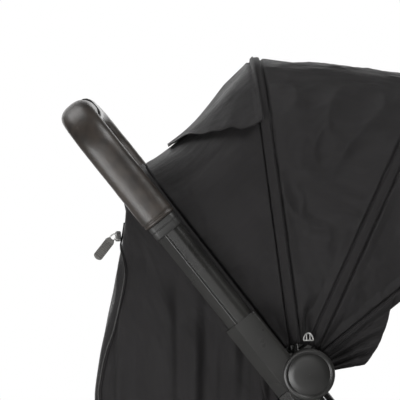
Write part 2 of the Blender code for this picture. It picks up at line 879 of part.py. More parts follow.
def build_release():
    """The housing at the middle of the crossbar, its release button and its safety slide."""
    deep = HOUSING_DEPTH / 2
    wide = HOUSING_WIDTH / 2
    corner = HOUSING_CORNER
    shell = rounded(
        [(-deep, -wide, corner), (deep, -wide, corner), (deep, wide, corner), (-deep, wide, corner)], 4
    )
    bore = [Vector((-point.x, point.y)) for point in reversed(handle_section(CLEARANCE))]
    body = crossbar_prism("release_housing", [shell, bore], -HOUSING_HALF_LENGTH, HOUSING_HALF_LENGTH)
    face = -wide
    pocket = rod(
        "pocket",
        RELEASE_RADIUS + CLEARANCE,
        crossbar_point(RELEASE_OFFSET, 0, face - 0.01),
        crossbar_point(RELEASE_OFFSET, 0, face + RELEASE_POCKET),
    )
    slot = rail_block(
        "slot",
        crossbar_point(LOCK_OFFSET, 0, face),
        (LOCK_LENGTH + LOCK_TRAVEL + 2 * CLEARANCE, LOCK_WIDTH + 2 * CLEARANCE, 2 * LOCK_POCKET),
    )
    cut(body, pocket, slot)
    adopt(body, "release_housing", PLASTIC_BLACK)
    button = rod(
        "release_button",
        RELEASE_RADIUS,
        crossbar_point(RELEASE_OFFSET, 0, face - RELEASE_PROUD),
        crossbar_point(RELEASE_OFFSET, 0, face + RELEASE_POCKET - RELEASE_TRAVEL - CLEARANCE),
    )
    soften(button, 0.0008)
    adopt(button, "release_button", SOFT_GREY)
    lock = rail_block(
        "lock_slide",
        crossbar_point(LOCK_OFFSET + LOCK_TRAVEL / 2, 0, face + (LOCK_POCKET - CLEARANCE - LOCK_PROUD) / 2),
        (LOCK_LENGTH, LOCK_WIDTH, LOCK_POCKET - CLEARANCE + LOCK_PROUD),
    )
    soften(lock, 0.0006)
    adopt(lock, "lock_slide", SOFT_GREY)
    return [body, button, lock]


def rail_block(name, middle, size):
    """A box set square to the rails round a point: across, up the rails and to their front."""
    work = bmesh.new()
    bmesh.ops.create_cube(work, size=1.0, matrix=Matrix.Diagonal((*size, 1.0)))
    item = mesh_object(name, work)
    item.matrix_world = rail_plane(middle)
    return item


def bow_half_width(index):
    """Half the distance between a bow's eyes; each bow's eyes sit inside the last one's."""
    return REAR_BOW_HALF_WIDTH - index * BOW_LAYER


# Front housings, forks and wheels

def build_front_housing(label, side):
    """The corner casting: a socket for the lower tube and the swivel's upright boss."""
    end = rail_point(side, -LOWER_LENGTH)
    mouth = rail_point(side, -LOWER_LENGTH + SOCKET_LENGTH)
    reach = TUBE_WIDTH / 2 + SOCKET_WALL
    inner = FRONT_HALF_TRACK - SWIVEL_BOSS_RADIUS
    outer = RAIL_HALF_SPAN + TUBE_DEPTH / 2 + SOCKET_WALL
    boss_x = SWIVEL_X + SWIVEL_BOSS_RADIUS
    top = SWIVEL_TOP_Z - HUB_Z
    bottom = SWIVEL_BOTTOM_Z - HUB_Z
    mouth_back = mouth - RAIL_FRONT * reach - HUB
    mouth_front = mouth + RAIL_FRONT * reach - HUB
    end_back = end - RAIL_FRONT * reach - RAIL_UP * SOCKET_WALL - HUB
    outline = rounded(
        [
            (mouth_back.x, mouth_back.z, 0.003),
            (end_back.x, end_back.z, 0.012),
            (end_back.x + 0.022, bottom, 0.010),
            (boss_x, bottom, 0.006),
            (boss_x, top, 0.014),
            (SWIVEL_X - SWIVEL_BOSS_RADIUS, top, 0.020),
            (mouth_front.x, mouth_front.z, 0.003),
        ],
        3,
    )
    middle = side * (inner + outer) / 2
    body = prism("housing", [outline], outer - inner, side_plane(hub_point(0, middle, 0)))
    socket_start = -LOWER_LENGTH - CLEARANCE
    socket_end = -LOWER_LENGTH + SOCKET_LENGTH + 0.03
    socket = rail_prism("socket", handle_section(CLEARANCE, side), side, socket_start, socket_end)
    bore = rod(
        "bore",
        STEM_RADIUS + CLEARANCE,
        hub_point(SWIVEL_X, side * FRONT_HALF_TRACK, bottom - 0.01),
        hub_point(SWIVEL_X, side * FRONT_HALF_TRACK, bottom + STEM_LENGTH + CLEARANCE),
    )
    soften(body, 0.003)
    cut(body, socket, bore)
    return adopt(body, "front_housing_" + label, PLASTIC_BLACK)


def build_fork(label, side):
    """The swivelling fork: stem, shoulder, bridge and two plates that trail the wheel."""
    y = side * FRONT_HALF_TRACK
    half = FRONT_WHEEL_WIDTH / 2 + FORK_GAP
    bridge_low = FORK_BRIDGE_Z - HUB_Z
    bridge_high = SWIVEL_BOTTOM_Z - CLEARANCE - HUB_Z
    axle = (SWIVEL_X - FORK_TRAIL, axle_height(FRONT_WHEEL_RADIUS))
    crown = (SWIVEL_X, bridge_low + 0.006)
    body = block(
        "fork",
        hub_point(SWIVEL_X - 0.022, y - half - FORK_PLATE, bridge_low),
        hub_point(SWIVEL_X + FORK_TOP_RADIUS, y + half + FORK_PLATE, bridge_high),
    )
    soften(body, 0.004)
    stem = rod("stem", STEM_RADIUS, hub_point(SWIVEL_X, y, bridge_high - 0.005),
               hub_point(SWIVEL_X, y, SWIVEL_BOTTOM_Z - HUB_Z + STEM_LENGTH), SMALL_STEPS)
    join(body, stem)
    outline = link_outline(axle, FORK_EYE_RADIUS, crown, FORK_TOP_RADIUS)
    for hand in (-1, 1):
        plate_y = y + hand * (half + FORK_PLATE / 2)
        join(body, prism("plate", [outline], FORK_PLATE, side_plane(hub_point(0, plate_y, 0))))
    bore = across_rod("bore", AXLE_RADIUS + CLEARANCE, axle, y - 0.05, y + 0.05)
    cut(body, bore)
    return adopt(body, "front_fork_" + label, PLASTIC_BLACK)


def across_rod(name, radius, place, start_y, end_y, steps=ROUND_STEPS):
    """A rod across the stroller at a point of the side view."""
    x, z = place
    return rod(name, radius, hub_point(x, start_y, z), hub_point(x, end_y, z), steps)


def axle_height(radius):
    """The height above the hub of a wheel's axle, with a flat of its tread on the floor."""
    return radius * math.cos(math.pi / WHEEL_STEPS) - HUB_Z


def build_front_axle(label, side):
    """The front wheel's axle."""
    y = side * FRONT_HALF_TRACK
    half = FRONT_WHEEL_WIDTH / 2 + FORK_GAP + FORK_PLATE + AXLE_PROUD
    place = (SWIVEL_X - FORK_TRAIL, axle_height(FRONT_WHEEL_RADIUS))
    body = across_rod("axle", AXLE_RADIUS, place, y - half, y + half, SMALL_STEPS)
    return adopt(body, "front_axle_" + label, STEEL)


def wheel_profiles(radius, width):
    """The (radius, height) outlines of a tyre and of its rim."""
    half = width / 2
    seat = radius - TYRE_SECTION
    tyre = rounded(
        [
            (seat, -half * 0.72, 0),
            (radius - 0.004, -half, 0.003),
            (radius, -half * 0.45, 0.004),
            (radius, half * 0.45, 0.004),
            (radius - 0.004, half, 0.003),
            (seat, half * 0.72, 0),
        ],
        1,
    )
    rim_outer = seat - CLEARANCE
    hub_outer = radius * 0.24
    bore = AXLE_RADIUS + CLEARANCE
    web = RIM_WEB / 2
    rim = [
        (bore, -half),
        (hub_outer, -half),
        (hub_outer + 0.003, -web),
        (rim_outer - 0.006, -web),
        (rim_outer - 0.004, -half * 0.7),
        (rim_outer, -half * 0.7),
        (rim_outer, half * 0.7),
        (rim_outer - 0.004, half * 0.7),
        (rim_outer - 0.006, web),
        (hub_outer + 0.003, web),
        (hub_outer, half),
        (bore, half),
    ]
    return tyre, rim, hub_outer + 0.004, rim_outer - 0.008


def build_wheel(kind, label, radius, width, centre):
    """A tyre and its spoked rim round an axle."""
    tyre_outline, rim_outline, inner, outer = wheel_profiles(radius, width)
    tyre = turned("tyre", tyre_outline, centre)
    adopt(tyre, f"{kind}_tyre_{label}", RUBBER)
    rim = turned("rim", rim_outline, centre)
    for index in range(SPOKE_COUNT):
        angle = 2 * math.pi * (index + 0.5) / SPOKE_COUNT
        spread = math.pi / SPOKE_COUNT * 0.62
        corners = []
        for reach, turn, corner in (
            (inner, -spread * 0.6, 0),
            (outer, -spread, 0.005),
            (outer * 1.015, 0.0, 0),
            (outer, spread, 0.005),
            (inner, spread * 0.6, 0),
        ):
            corners.append((reach * math.cos(angle + turn), reach * math.sin(angle + turn), corner))
        window = prism("window", [rounded(corners, 1)], width * 2, side_plane(centre))
        cut(rim, window)
    adopt(rim, f"{kind}_rim_{label}", PLASTIC_BLACK)
    return [tyre, rim]


# Rear legs, axle and brake

def leg_pivot():
    """The rear leg's pivot in the side view."""
    point = rail_point(1, -LEG_PIVOT_ALONG) - HUB
    return Vector((point.x, point.z))


def rear_axle():
    """The rear axle in the side view."""
    return Vector((REAR_AXLE_X, axle_height(REAR_WHEEL_RADIUS)))


def brake_bar():
    """The brake bar in the side view."""
    return rear_axle() + (leg_pivot() - rear_axle()).normalized() * BRAKE_BAR_FROM_AXLE


def rear_wheel_y():
    """Distance of a rear wheel's middle from the stroller's middle."""
    return leg_y() + LEG_DEPTH / 2 + WHEEL_SIDE_GAP + REAR_WHEEL_WIDTH / 2


def build_rear_leg(label, side):
    """A flat rear leg from its pivot to the axle."""
    half = LEG_WIDTH / 2
    outline = link_outline(leg_pivot(), half, rear_axle(), half * 0.9)
    top_hole = circle(*leg_pivot(), LEG_PIN_RADIUS + CLEARANCE, SMALL_STEPS)
    low_hole = circle(*rear_axle(), AXLE_RADIUS + CLEARANCE, SMALL_STEPS)
    placement = side_plane(hub_point(0, side * leg_y(), 0))
    body = prism("leg", [outline, top_hole, low_hole], LEG_DEPTH, placement)
    soften(body, 0.002)
    return adopt(body, "rear_leg_" + label, FRAME_BLACK)


def build_rear_axle():
    """The one axle through both rear legs and wheels."""
    reach = rear_wheel_y() + REAR_WHEEL_WIDTH / 2 + AXLE_PROUD
    body = across_rod("rear_axle", AXLE_RADIUS, rear_axle(), -reach, reach, SMALL_STEPS)
    return adopt(body, "rear_axle", STEEL)


def build_brake():
    """The bar between the rear legs and the brake pedal that turns on it."""
    reach = leg_y() - LEG_DEPTH / 2 - CLEARANCE
    place = brake_bar()
    bar = across_rod("brake_bar", BRAKE_BAR_RADIUS, place, -reach, reach, SMALL_STEPS)
    adopt(bar, "brake_bar", FRAME_BLACK)
    tip = place + Vector((-PEDAL_REACH, 0.012))
    outline = link_outline(tip, 0.006, place, PEDAL_RING)
    hole = circle(*place, BRAKE_BAR_RADIUS + CLEARANCE, SMALL_STEPS)
    pedal = prism("pedal", [outline, hole], 2 * PEDAL_HALF_WIDTH, side_plane(hub_point(0, PEDAL_Y, 0)))
    soften(pedal, 0.0015)
    adopt(pedal, "brake_pedal", PLASTIC_BLACK)
    return bar, pedal


# Seat, calf rest and basket

def build_footrest_bar():
    """The cross tube between the lower tubes."""
    point = rail_point(1, -FOOTREST_ALONG) - HUB
    reach = RAIL_HALF_SPAN - TUBE_DEPTH / 2 - CLEARANCE
    body = across_rod("footrest_bar", FOOTREST_RADIUS, (point.x, point.z), -reach, reach, SMALL_STEPS)
    return adopt(body, "footrest_bar", FRAME_BLACK)


def build_seat_frame():
    """The closed tube loop that carries the seat, the backrest and the calf rest."""
    corners = [
        (SEAT_REAR_X, -SEAT_HALF_WIDTH, SEAT_CORNER),
        (SEAT_FRONT_X, -SEAT_HALF_WIDTH, SEAT_CORNER),
        (SEAT_FRONT_X, SEAT_HALF_WIDTH, SEAT_CORNER),
        (SEAT_REAR_X, SEAT_HALF_WIDTH, SEAT_CORNER),
    ]
    path = [hub_point(point.x, point.y, SEAT_Z) for point in rounded(corners, 4)]
    body = tube("seat_frame", path, SEAT_TUBE_RADIUS, closed=True, resolution=2)
    return adopt(body, "seat_frame", FRAME_BLACK)


def build_seat_base():
    """The board that lies on the seat frame's side rails."""
    low = SEAT_Z + SEAT_TUBE_RADIUS + CLEARANCE
    rear = SEAT_REAR_X + SEAT_BOARD_MARGIN
    front = SEAT_FRONT_X - SEAT_BOARD_MARGIN
    outline = rounded(
        [
            (rear, -SEAT_HALF_WIDTH, SEAT_CORNER * 0.6),
            (front, -SEAT_HALF_WIDTH, SEAT_CORNER * 0.6),
            (front, SEAT_HALF_WIDTH, SEAT_CORNER * 0.6),
            (rear, SEAT_HALF_WIDTH, SEAT_CORNER * 0.6),
        ],
        4,
    )
    middle = hub_point(0, 0, low + SEAT_BOARD_DEPTH / 2)
    body = prism("seat_base", [outline], SEAT_BOARD_DEPTH, Matrix.Translation(middle))
    soften(body, 0.0015)
    return adopt(body, "seat_base", PLASTIC_BLACK)


def seat_pad_base():
    """The height of the seat pad's underside above the hub."""
    return SEAT_Z + SEAT_TUBE_RADIUS + SEAT_BOARD_DEPTH + 2 * CLEARANCE


def build_seat_pad():
    """The seat cushion."""
    rear = SEAT_REAR_X + 0.032
    front = SEAT_FRONT_X - 0.006
    middle = hub_point((rear + front) / 2, 0, seat_pad_base())
    placement = axes_matrix(middle, Vector((0, -1, 0)), Vector((1, 0, 0)), Vector((0, 0, 1)))
    body = cushion("seat_pad", 2 * SEAT_PAD_HALF_WIDTH, front - rear, SEAT_PAD_DEPTH, PAD_RIM, 3, placement)
    return adopt(body, "seat_pad", PAD_BLACK, math.radians(60))


def build_buckle():
    """The crotch strap and the buckle with its press button."""
    base = seat_pad_base() + SEAT_PAD_DEPTH + CLEARANCE
    foot = base + BUCKLE_LIFT
    deep, wide, tall = BUCKLE_SIZE
    strap = block(
        "crotch_strap",
        hub_point(BUCKLE_X - WEBBING, -WEBBING_WIDTH / 2, base),
        hub_point(BUCKLE_X, WEBBING_WIDTH / 2, foot - CLEARANCE),
    )
    adopt(strap, "crotch_strap", WEBBING_BLACK)
    body = block(
        "buckle",
        hub_point(BUCKLE_X - deep / 2, -wide / 2, foot),
        hub_point(BUCKLE_X + deep / 2, wide / 2, foot + tall),
    )
    soften(body, 0.004, 2)
    face = BUCKLE_X + deep / 2
    height = foot + tall * 0.55
    pocket = rod("pocket", BUCKLE_BUTTON_RADIUS + CLEARANCE, hub_point(face - BUCKLE_POCKET, 0, height),
                 hub_point(face + 0.01, 0, height))
    cut(body, pocket)
    adopt(body, "buckle", PLASTIC_BLACK)
    start = face - BUCKLE_POCKET + BUCKLE_BUTTON_TRAVEL + CLEARANCE
    button = rod("buckle_button", BUCKLE_BUTTON_RADIUS, hub_point(start, 0, height),
                 hub_point(face + BUCKLE_BUTTON_PROUD, 0, height))
    soften(button, 0.0008)
    adopt(button, "buckle_button", SOFT_GREY)
    return [strap, body], button


def build_calf_rest():
    """The calf rest: a board that hooks over the seat frame's front bar, and its pad."""
    pivot = hub_point(SEAT_FRONT_X, 0, SEAT_Z)
    down = Vector((math.sin(CALF_LEAN), 0, -math.cos(CALF_LEAN)))
    front = Vector((math.cos(CALF_LEAN), 0, math.sin(CALF_LEAN)))
    ring = SEAT_TUBE_RADIUS + CLEARANCE
    half = CALF_HALF_WIDTH - 0.010
    outline = rounded(
        [
            (-half, 0, 0.006),
            (half, 0, 0.006),
            (half, CALF_LENGTH, 0.030),
            (-half, CALF_LENGTH, 0.030),
        ],
        4,
    )
    depth_middle = ring + CALF_BOARD_DEPTH / 2 - 0.002
    placement = axes_matrix(pivot + front * depth_middle, Vector((0, 1, 0)), down, -front)
    board = prism("calf_board", [outline], CALF_BOARD_DEPTH, placement)
    soften(board, 0.0015)
    bar = (SEAT_FRONT_X, SEAT_Z)
    for hand in (-1, 1):
        start = hand * half * 0.55 - CALF_KNUCKLE_LENGTH / 2
        end = start + CALF_KNUCKLE_LENGTH
        join(board, across_rod("knuckle", ring + CALF_KNUCKLE_WALL, bar, start, end, SMALL_STEPS))
    cut(board, across_rod("bore", ring, bar, -half, half, SMALL_STEPS))
    adopt(board, "calf_board", PLASTIC_BLACK)
    surface = depth_middle + CALF_BOARD_DEPTH / 2 + CLEARANCE
    middle = pivot + front * surface + down * (0.012 + CALF_LENGTH / 2)
    pad_place = axes_matrix(middle, Vector((0, -1, 0)), down, front)
    pad_size = (2 * CALF_HALF_WIDTH, CALF_LENGTH - 0.004, CALF_PAD_DEPTH)
    pad = cushion("calf_pad", *pad_size, CALF_PAD_RIM, 2, pad_place, 8, 10)
    adopt(pad, "calf_pad", PAD_BLACK, math.radians(60))
    return [board, pad]


def build_basket():
    """The shopping basket: an open cloth tray with a web up to each seat rail."""
    bar = rail_point(1, -FOOTREST_ALONG) - HUB
    front_x = bar.x - FOOTREST_RADIUS - CLEARANCE
    bottom = BASKET_BOTTOM_Z - HUB_Z
    work = bmesh.new()
    bmesh.ops.create_cube(work, size=1.0)
    top = [face for face in work.faces if face.normal.z > 0.5]
    bmesh.ops.delete(work, geom=top, context="FACES_ONLY")
    for point in work.verts:
        front = point.co.x > 0
        high = point.co.z > 0
        spread = 0.0 if high else BASKET_SPREAD
        x = front_x - spread if front else BASKET_REAR_X + spread
        rim = BASKET_FRONT_Z if front else BASKET_REAR_Z
        z = rim - HUB_Z if high else bottom
        point.co = Vector((x, math.copysign(BASKET_HALF_WIDTH - spread, point.co.y), z))
    corners = [edge for edge in work.edges if not edge.is_boundary]
    bmesh.ops.bevel(
        work, geom=corners, offset=BASKET_CORNER, segments=4, profile=0.5, affect="EDGES", clamp_overlap=True
    )
    item = mesh_object("basket", work)
    item.location = HUB
    wall = item.modifiers.new("cloth", "SOLIDIFY")
    wall.thickness = BASKET_WALL
    wall.offset = -1.0
    rail_low = SEAT_Z - SEAT_TUBE_RADIUS - CLEARANCE
    for hand in (-1, 1):
        outer = hand * SEAT_HALF_WIDTH
        inner = hand * (BASKET_HALF_WIDTH - 2 * BASKET_WALL)
        rim = BASKET_FRONT_Z - HUB_Z - BASKET_TAB_LAP
        web = leaning_web(inner, outer, rim, rail_low)
        join(item, web)
    return adopt(item, "basket", CLOTH_BLACK)


def leaning_web(inner, outer, low, high):
    """A flat web that leans out from the basket's wall to a seat rail."""
    hand = math.copysign(1, outer)
    outline = [
        Vector((inner, low)),
        Vector((inner + hand * BASKET_WALL, low)),
        Vector((outer + hand * BASKET_WALL / 2, high)),
        Vector((outer - hand * BASKET_WALL / 2, high)),
    ]
    middle = hub_point(BASKET_TAB_X, 0, 0)
    placement = axes_matrix(middle, Vector((0, 1, 0)), Vector((0, 0, 1)), Vector((1, 0, 0)))
    return prism("web", [outline], BASKET_TAB_WIDTH, placement)


# Backrest and seat surround

def back_plane(up=0.0, front=0.0):
    """A placement on the backrest: X across, Y up it, Z to its front."""
    base = leaning_plane(hub_point(SEAT_REAR_X, 0, SEAT_Z), BACK_LEAN)
    return base @ Matrix.Translation((0, up, front))


def back_half_width():
    """Half the backrest board's width, just inside the surround."""
    return SURROUND_HALF_WIDTH - SURROUND_CLOTH - SURROUND_FOLD - CLEARANCE


def build_backrest():
    """The board that hooks over the seat frame's rear bar, and its cushion."""
    half = back_half_width()
    outline = rounded(
        [
            (-half, 0, 0.010),
            (half, 0, 0.010),
            (half, BACK_LENGTH, BACK_CORNER),
            (-half, BACK_LENGTH, BACK_CORNER),
        ],
        6,
    )
    board = prism("backrest_board", [outline], BACK_BOARD_DEPTH, back_plane())
    soften(board, 0.0015)
    ring = SEAT_TUBE_RADIUS + CLEARANCE
    bar = (SEAT_REAR_X, SEAT_Z)
    for hand in (-1, 1):
        start = hand * half * 0.55 - BACK_KNUCKLE_LENGTH / 2
        end = start + BACK_KNUCKLE_LENGTH
        join(board, across_rod("knuckle", ring + KNUCKLE_WALL, bar, start, end, SMALL_STEPS))
    cut(board, across_rod("bore", ring, bar, -half - 0.01, half + 0.01, SMALL_STEPS))
    adopt(board, "backrest_board", PLASTIC_BLACK)
    low = 0.036
    high = BACK_LENGTH - 0.006
    seat = back_plane((low + high) / 2, BACK_BOARD_DEPTH / 2 + CLEARANCE)
    placement = seat @ Matrix.Diagonal((-1, -1, 1, 1))
    pad_width = 2 * (half - BACK_PAD_MARGIN)
    pad = cushion("backrest_pad", pad_width, high - low, BACK_PAD_DEPTH, PAD_RIM, 4, placement)
    adopt(pad, "backrest_pad", PAD_BLACK, math.radians(60))
    return [board, pad]


def build_shoulder_strap(label, side):
    """A shoulder strap from its slot down the cushion to the buckle."""
    surface = BACK_BOARD_DEPTH / 2 + BACK_PAD_DEPTH + 2 * CLEARANCE
    back = back_plane()
    buckle_side = BUCKLE_SIZE[1] / 2 + 0.0005
    buckle_height = seat_pad_base() + SEAT_PAD_DEPTH + BUCKLE_LIFT + BUCKLE_SIZE[2] * 0.45
    knots = [
        back @ Vector((side * SHOULDER_HALF_SPACING, SHOULDER_HEIGHT, surface)),
        back @ Vector((side * SHOULDER_HALF_SPACING, SHOULDER_HEIGHT * 0.75, surface + 0.004)),
        back @ Vector((side * SHOULDER_HALF_SPACING * 1.06, SHOULDER_HEIGHT * 0.48, surface + 0.006)),
        back @ Vector((side * SHOULDER_HALF_SPACING * 1.1, SHOULDER_HEIGHT * 0.33, surface + 0.018)),
        hub_point(BUCKLE_X - 0.030, side * (buckle_side + 0.019), buckle_height + 0.010),
        hub_point(BUCKLE_X, side * (buckle_side + WEBBING_WIDTH / 2), buckle_height),
    ]

    def place(u, v):
        spot = v * (len(knots) - 1)
        index = min(int(spot), len(knots) - 2)
        share = spot - index
        before = knots[max(index - 1, 0)]
        after = knots[min(index + 2, len(knots) - 1)]
        low, high = knots[index], knots[index + 1]
        middle = 0.5 * (
            2 * low
            + (high - before) * share
            + (2 * before - 5 * low + 4 * high - after) * share ** 2
            + (3 * low - before - 3 * high + after) * share ** 3
        )
        return middle + Vector((0, (0.5 - u) * WEBBING_WIDTH, 0))

    strap = sheet("strap", 1, 20, place, WEBBING)
    return adopt(strap, "shoulder_strap_" + label, WEBBING_BLACK, math.radians(60))


def surround_level(z, share):
    """A point of the surround's outline at one height, from its near front edge round to its far one."""
    front = read_curve(SURROUND_FRONT, z)
    rear = read_curve(SURROUND_REAR, z)
    back = SEAT_REAR_X - (z - SEAT_Z) * math.tan(BACK_LEAN) - BACK_BOARD_DEPTH / 2 / math.cos(BACK_LEAN)
    corner = min(SURROUND_TIGHT_CORNER + back - rear, SURROUND_CORNER)
    corners = [
        (front, -SURROUND_HALF_WIDTH, 0),
        (rear, -SURROUND_HALF_WIDTH, corner),
        (rear, SURROUND_HALF_WIDTH, corner),
        (front, SURROUND_HALF_WIDTH, 0),
    ]
    points = resample(rounded(corners, 5, closed=False), SURROUND_COLUMNS + 1)
    index = min(int(share * SURROUND_COLUMNS), SURROUND_COLUMNS - 1)
    part = share * SURROUND_COLUMNS - index
    here = points[index].lerp(points[index + 1], part)
    along = (points[index + 1] - points[index]).normalized()
    return here, Vector((-along.y, along.x))


def surround_point(u, v):
    """A point of the surround's outer face, round it by u and up it by v, with its hanging folds."""
    z = SURROUND_BOTTOM + (SURROUND_TOP - SURROUND_BOTTOM) * v ** SURROUND_CROWDING
    here, outward = surround_level(z, u)
    hang = math.sin(math.pi * min(max(1.15 - v, 0.0), 1.0) ** 1.2) ** 0.5 if v < 1 else 0.0
    wave = math.sin(2 * math.pi * SURROUND_FOLD_COUNT * u + 1.2 * math.sin(3 * v)) * hang
    here = here + outward * SURROUND_FOLD * (1 - wave) / 2
    return hub_point(here.x, here.y, z)


def build_surround():
    """The seat's cloth wings and back, hanging in soft upright folds."""
    item = sheet("surround", SURROUND_COLUMNS, SURROUND_ROWS, surround_point, SURROUND_CLOTH)
    return adopt(item, "seat_surround", CLOTH_BLACK, math.radians(60))


def zip_frame():
    """A placement on the surround's near rear corner: X out of the cloth, Z up along it."""
    reach = (SLIDER_Z - SURROUND_BOTTOM) / (SURROUND_TOP - SURROUND_BOTTOM)
    row = int(reach ** (1 / SURROUND_CROWDING) * SURROUND_ROWS)
    around = SLIDER_COLUMN / SURROUND_COLUMNS
    low = surround_point(around, row / SURROUND_ROWS)
    high = surround_point(around, (row + 1) / SURROUND_ROWS)
    behind = surround_point(around + 1 / SURROUND_COLUMNS, row / SURROUND_ROWS)
    share = (SLIDER_Z + HUB_Z - low.z) / (high.z - low.z)
    up = (high - low).normalized()
    out = up.cross(behind - low).normalized()
    return axes_matrix(low.lerp(high, share), out, up.cross(out), up)


# Canopy

def arch(half_width, reach, count=33):
    """An arch from eye to eye as evenly spread (across, reach) points."""
    top = half_width - BOW_TAPER
    shoulder = reach - CANOPY_CROWN
    corners = [
        (-half_width, 0, 0),
        (-top, shoulder, CANOPY_CORNER),
        (0, reach + CANOPY_CROWN * 0.25, 0.30),
        (top, shoulder, CANOPY_CORNER),
        (half_width, 0, 0),
    ]
    points = rounded(corners, ARCH_STEPS, closed=False)
    return resample(points, count) if count else points


def canopy_point(angle, across, reach):
    """A point of the plane that leans at an angle from the canopy's pivot."""
    return hub_point(CANOPY_X + reach * math.cos(angle), across, CANOPY_Z + reach * math.sin(angle))


def build_bow(name, index, angle, reach):
    """A canopy bow: a thin arched wire with an eye at each end."""
    lift = FABRIC + BOW_FABRIC_GAP + BOW_RADIUS
    half_width = bow_half_width(index)
    path = [canopy_point(angle, x, y) for x, y in arch(half_width, reach - lift, 0)]
    body = tube(name, path, BOW_RADIUS, resolution=1)
    for side in (-1, 1):
        low = side * (half_width - BOW_RADIUS)
        high = side * (half_width + BOW_RADIUS)
        place = (CANOPY_X, CANOPY_Z)
        join(body, across_rod("eye", BOW_EYE_RADIUS, place, low, high, SMALL_STEPS))
    cut(body, across_rod("bore", STUD_RADIUS + CLEARANCE, (CANOPY_X, CANOPY_Z), -0.3, 0.3, SMALL_STEPS))
    return adopt(body, name, FRAME_BLACK)


def cloth_arch(index, reach, low_share=0.0, grow=0.0):
    """The outer line of the cloth over a bow, between two heights, evenly spread."""
    lift = FABRIC + BOW_FABRIC_GAP + BOW_RADIUS + grow
    points = arch(bow_half_width(index) + lift, reach + grow, 121)
    if low_share > 0:
        skip = int(120 * low_share)
    else:
        skip = next(i for i, point in enumerate(points) if point.y >= CANOPY_START)
    return resample(points[skip:len(points) - skip], CLOTH_COLUMNS + 1)


def lofted_cloth(first, second, bulge):
    """Returns a placing function between two arches, each an (angle, points) pair."""
    def place(u, v):
        spot = u * CLOTH_COLUMNS
        index = min(int(spot), CLOTH_COLUMNS - 1)
        a = first[1][index].lerp(first[1][index + 1], spot - index)
        b = second[1][index].lerp(second[1][index + 1], spot - index)
        low = canopy_point(first[0], a.x, a.y)
        high = canopy_point(second[0], b.x, b.y)
        middle = (first[0] + second[0]) / 2
        weight = (a.y / REAR_BOW_REACH) ** 2 * 4 * v * (1 - v) * bulge
        seam = PANEL_SEAM / (high - low).length
        share = seam + v * (1 - 2 * seam)
        return low.lerp(high, share) + Vector((math.cos(middle), 0, math.sin(middle))) * weight

    return place


def build_canopy_panels():
    """The three cloth panels and the rear flap."""
    nape = (NAPE_ANGLE, cloth_arch(0, NAPE_REACH))
    rear = (REAR_BOW_ANGLE, cloth_arch(0, REAR_BOW_REACH))
    middle = (MIDDLE_BOW_ANGLE, cloth_arch(1, MIDDLE_BOW_REACH))
    front = (FRONT_BOW_ANGLE - 0.012, cloth_arch(2, FRONT_BOW_REACH))
    panels = []
    for name, first, second, bulge in (
        ("canopy_rear_panel", nape, rear, 0.006),
        ("canopy_middle_panel", rear, middle, 0.005),
        ("canopy_front_panel", middle, front, 0.008),
    ):
        panel = sheet(name, CLOTH_COLUMNS, CLOTH_ROWS, lofted_cloth(first, second, bulge), FABRIC)
        panels.append(adopt(panel, name, CLOTH_BLACK, math.radians(60)))
    flap_rear = (NAPE_ANGLE - 0.03, cloth_arch(0, NAPE_REACH + 0.004, 0.400, FLAP_LIFT + FLAP_CLOTH))
    flap_front = (REAR_BOW_ANGLE + 0.004, cloth_arch(0, REAR_BOW_REACH, 0.330, FLAP_SEAM + FLAP_CLOTH))
    lofted = lofted_cloth(flap_rear, flap_front, 0.008)

    def place(u, v):
        flare = max(abs(2 * u - 1) - 0.75, 0) * 4
        return lofted(u, v) + Vector((0, math.copysign(flare ** 2 * FLAP_FLARE, u - 0.5), 0))

    flap = sheet("canopy_flap", CLOTH_COLUMNS, CLOTH_ROWS, place, FLAP_CLOTH)
    adopt(flap, "canopy_flap", CLOTH_BLACK, math.radians(60))
    return panels, flap


def build_canopy_slider():
    """The half-round metal zip slider low on the near side, just inside the hub's sleeve."""
    x, z = CANOPY_SLIDER
    outline = []
    for step in range(9):
        angle = math.pi * step / 8
        across = CANOPY_SLIDER_HALF_WIDTH * math.cos(angle)
        outline.append(Vector((x + across, z + CANOPY_SLIDER_HEIGHT * math.sin(angle))))
    y = SLEEVE_INNER - CLEARANCE - CANOPY_SLIDER_DEPTH / 2
    body = prism("canopy_slider", [outline], CANOPY_SLIDER_DEPTH, side_plane(hub_point(0, -y, 0)))
    soften(body, 0.0006)
    return adopt(body, "canopy_slider", STEEL)


def build_zip():
    """The zip slider at the surround's near rear corner and its hanging pull."""
    seat = zip_frame()
    size = (SLIDER_DEPTH, SLIDER_WIDTH, SLIDER_LENGTH)
    work = bmesh.new()
    bmesh.ops.create_cube(work, size=1.0, matrix=Matrix.Diagonal((*size, 1.0)))
    body = mesh_object("zip_slider", work)
    body.matrix_world = seat @ Matrix.Translation((SLIDER_SEAT + SLIDER_DEPTH / 2, 0, 0))
    soften(body, 0.001)
    adopt(body, "zip_slider", STEEL)
    edge = seat @ Vector((SLIDER_SEAT + SLIDER_DEPTH, 0, 0))
    pivot = edge + Vector((-PULL_SEAT, 0, 0))
    along = Vector((-math.cos(PULL_SLOPE), 0, -math.sin(PULL_SLOPE)))
    outline = rounded(
        [
            (-PULL_WIDTH / 2, 0, 0.003),
            (PULL_WIDTH / 2, 0, 0.003),
            (PULL_WIDTH / 2, PULL_LENGTH, 0.0045),
            (-PULL_WIDTH / 2, PULL_LENGTH, 0.0045),
        ],
        4,
    )
    across = Vector((0, 1, 0))
    placement = axes_matrix(pivot, across, along, across.cross(along))
    pull = prism("zip_pull", [outline], PULL_DEPTH, placement)
    soften(pull, 0.0006)
    adopt(pull, "zip_pull", SOFT_GREY)
    return body, pull, pivot


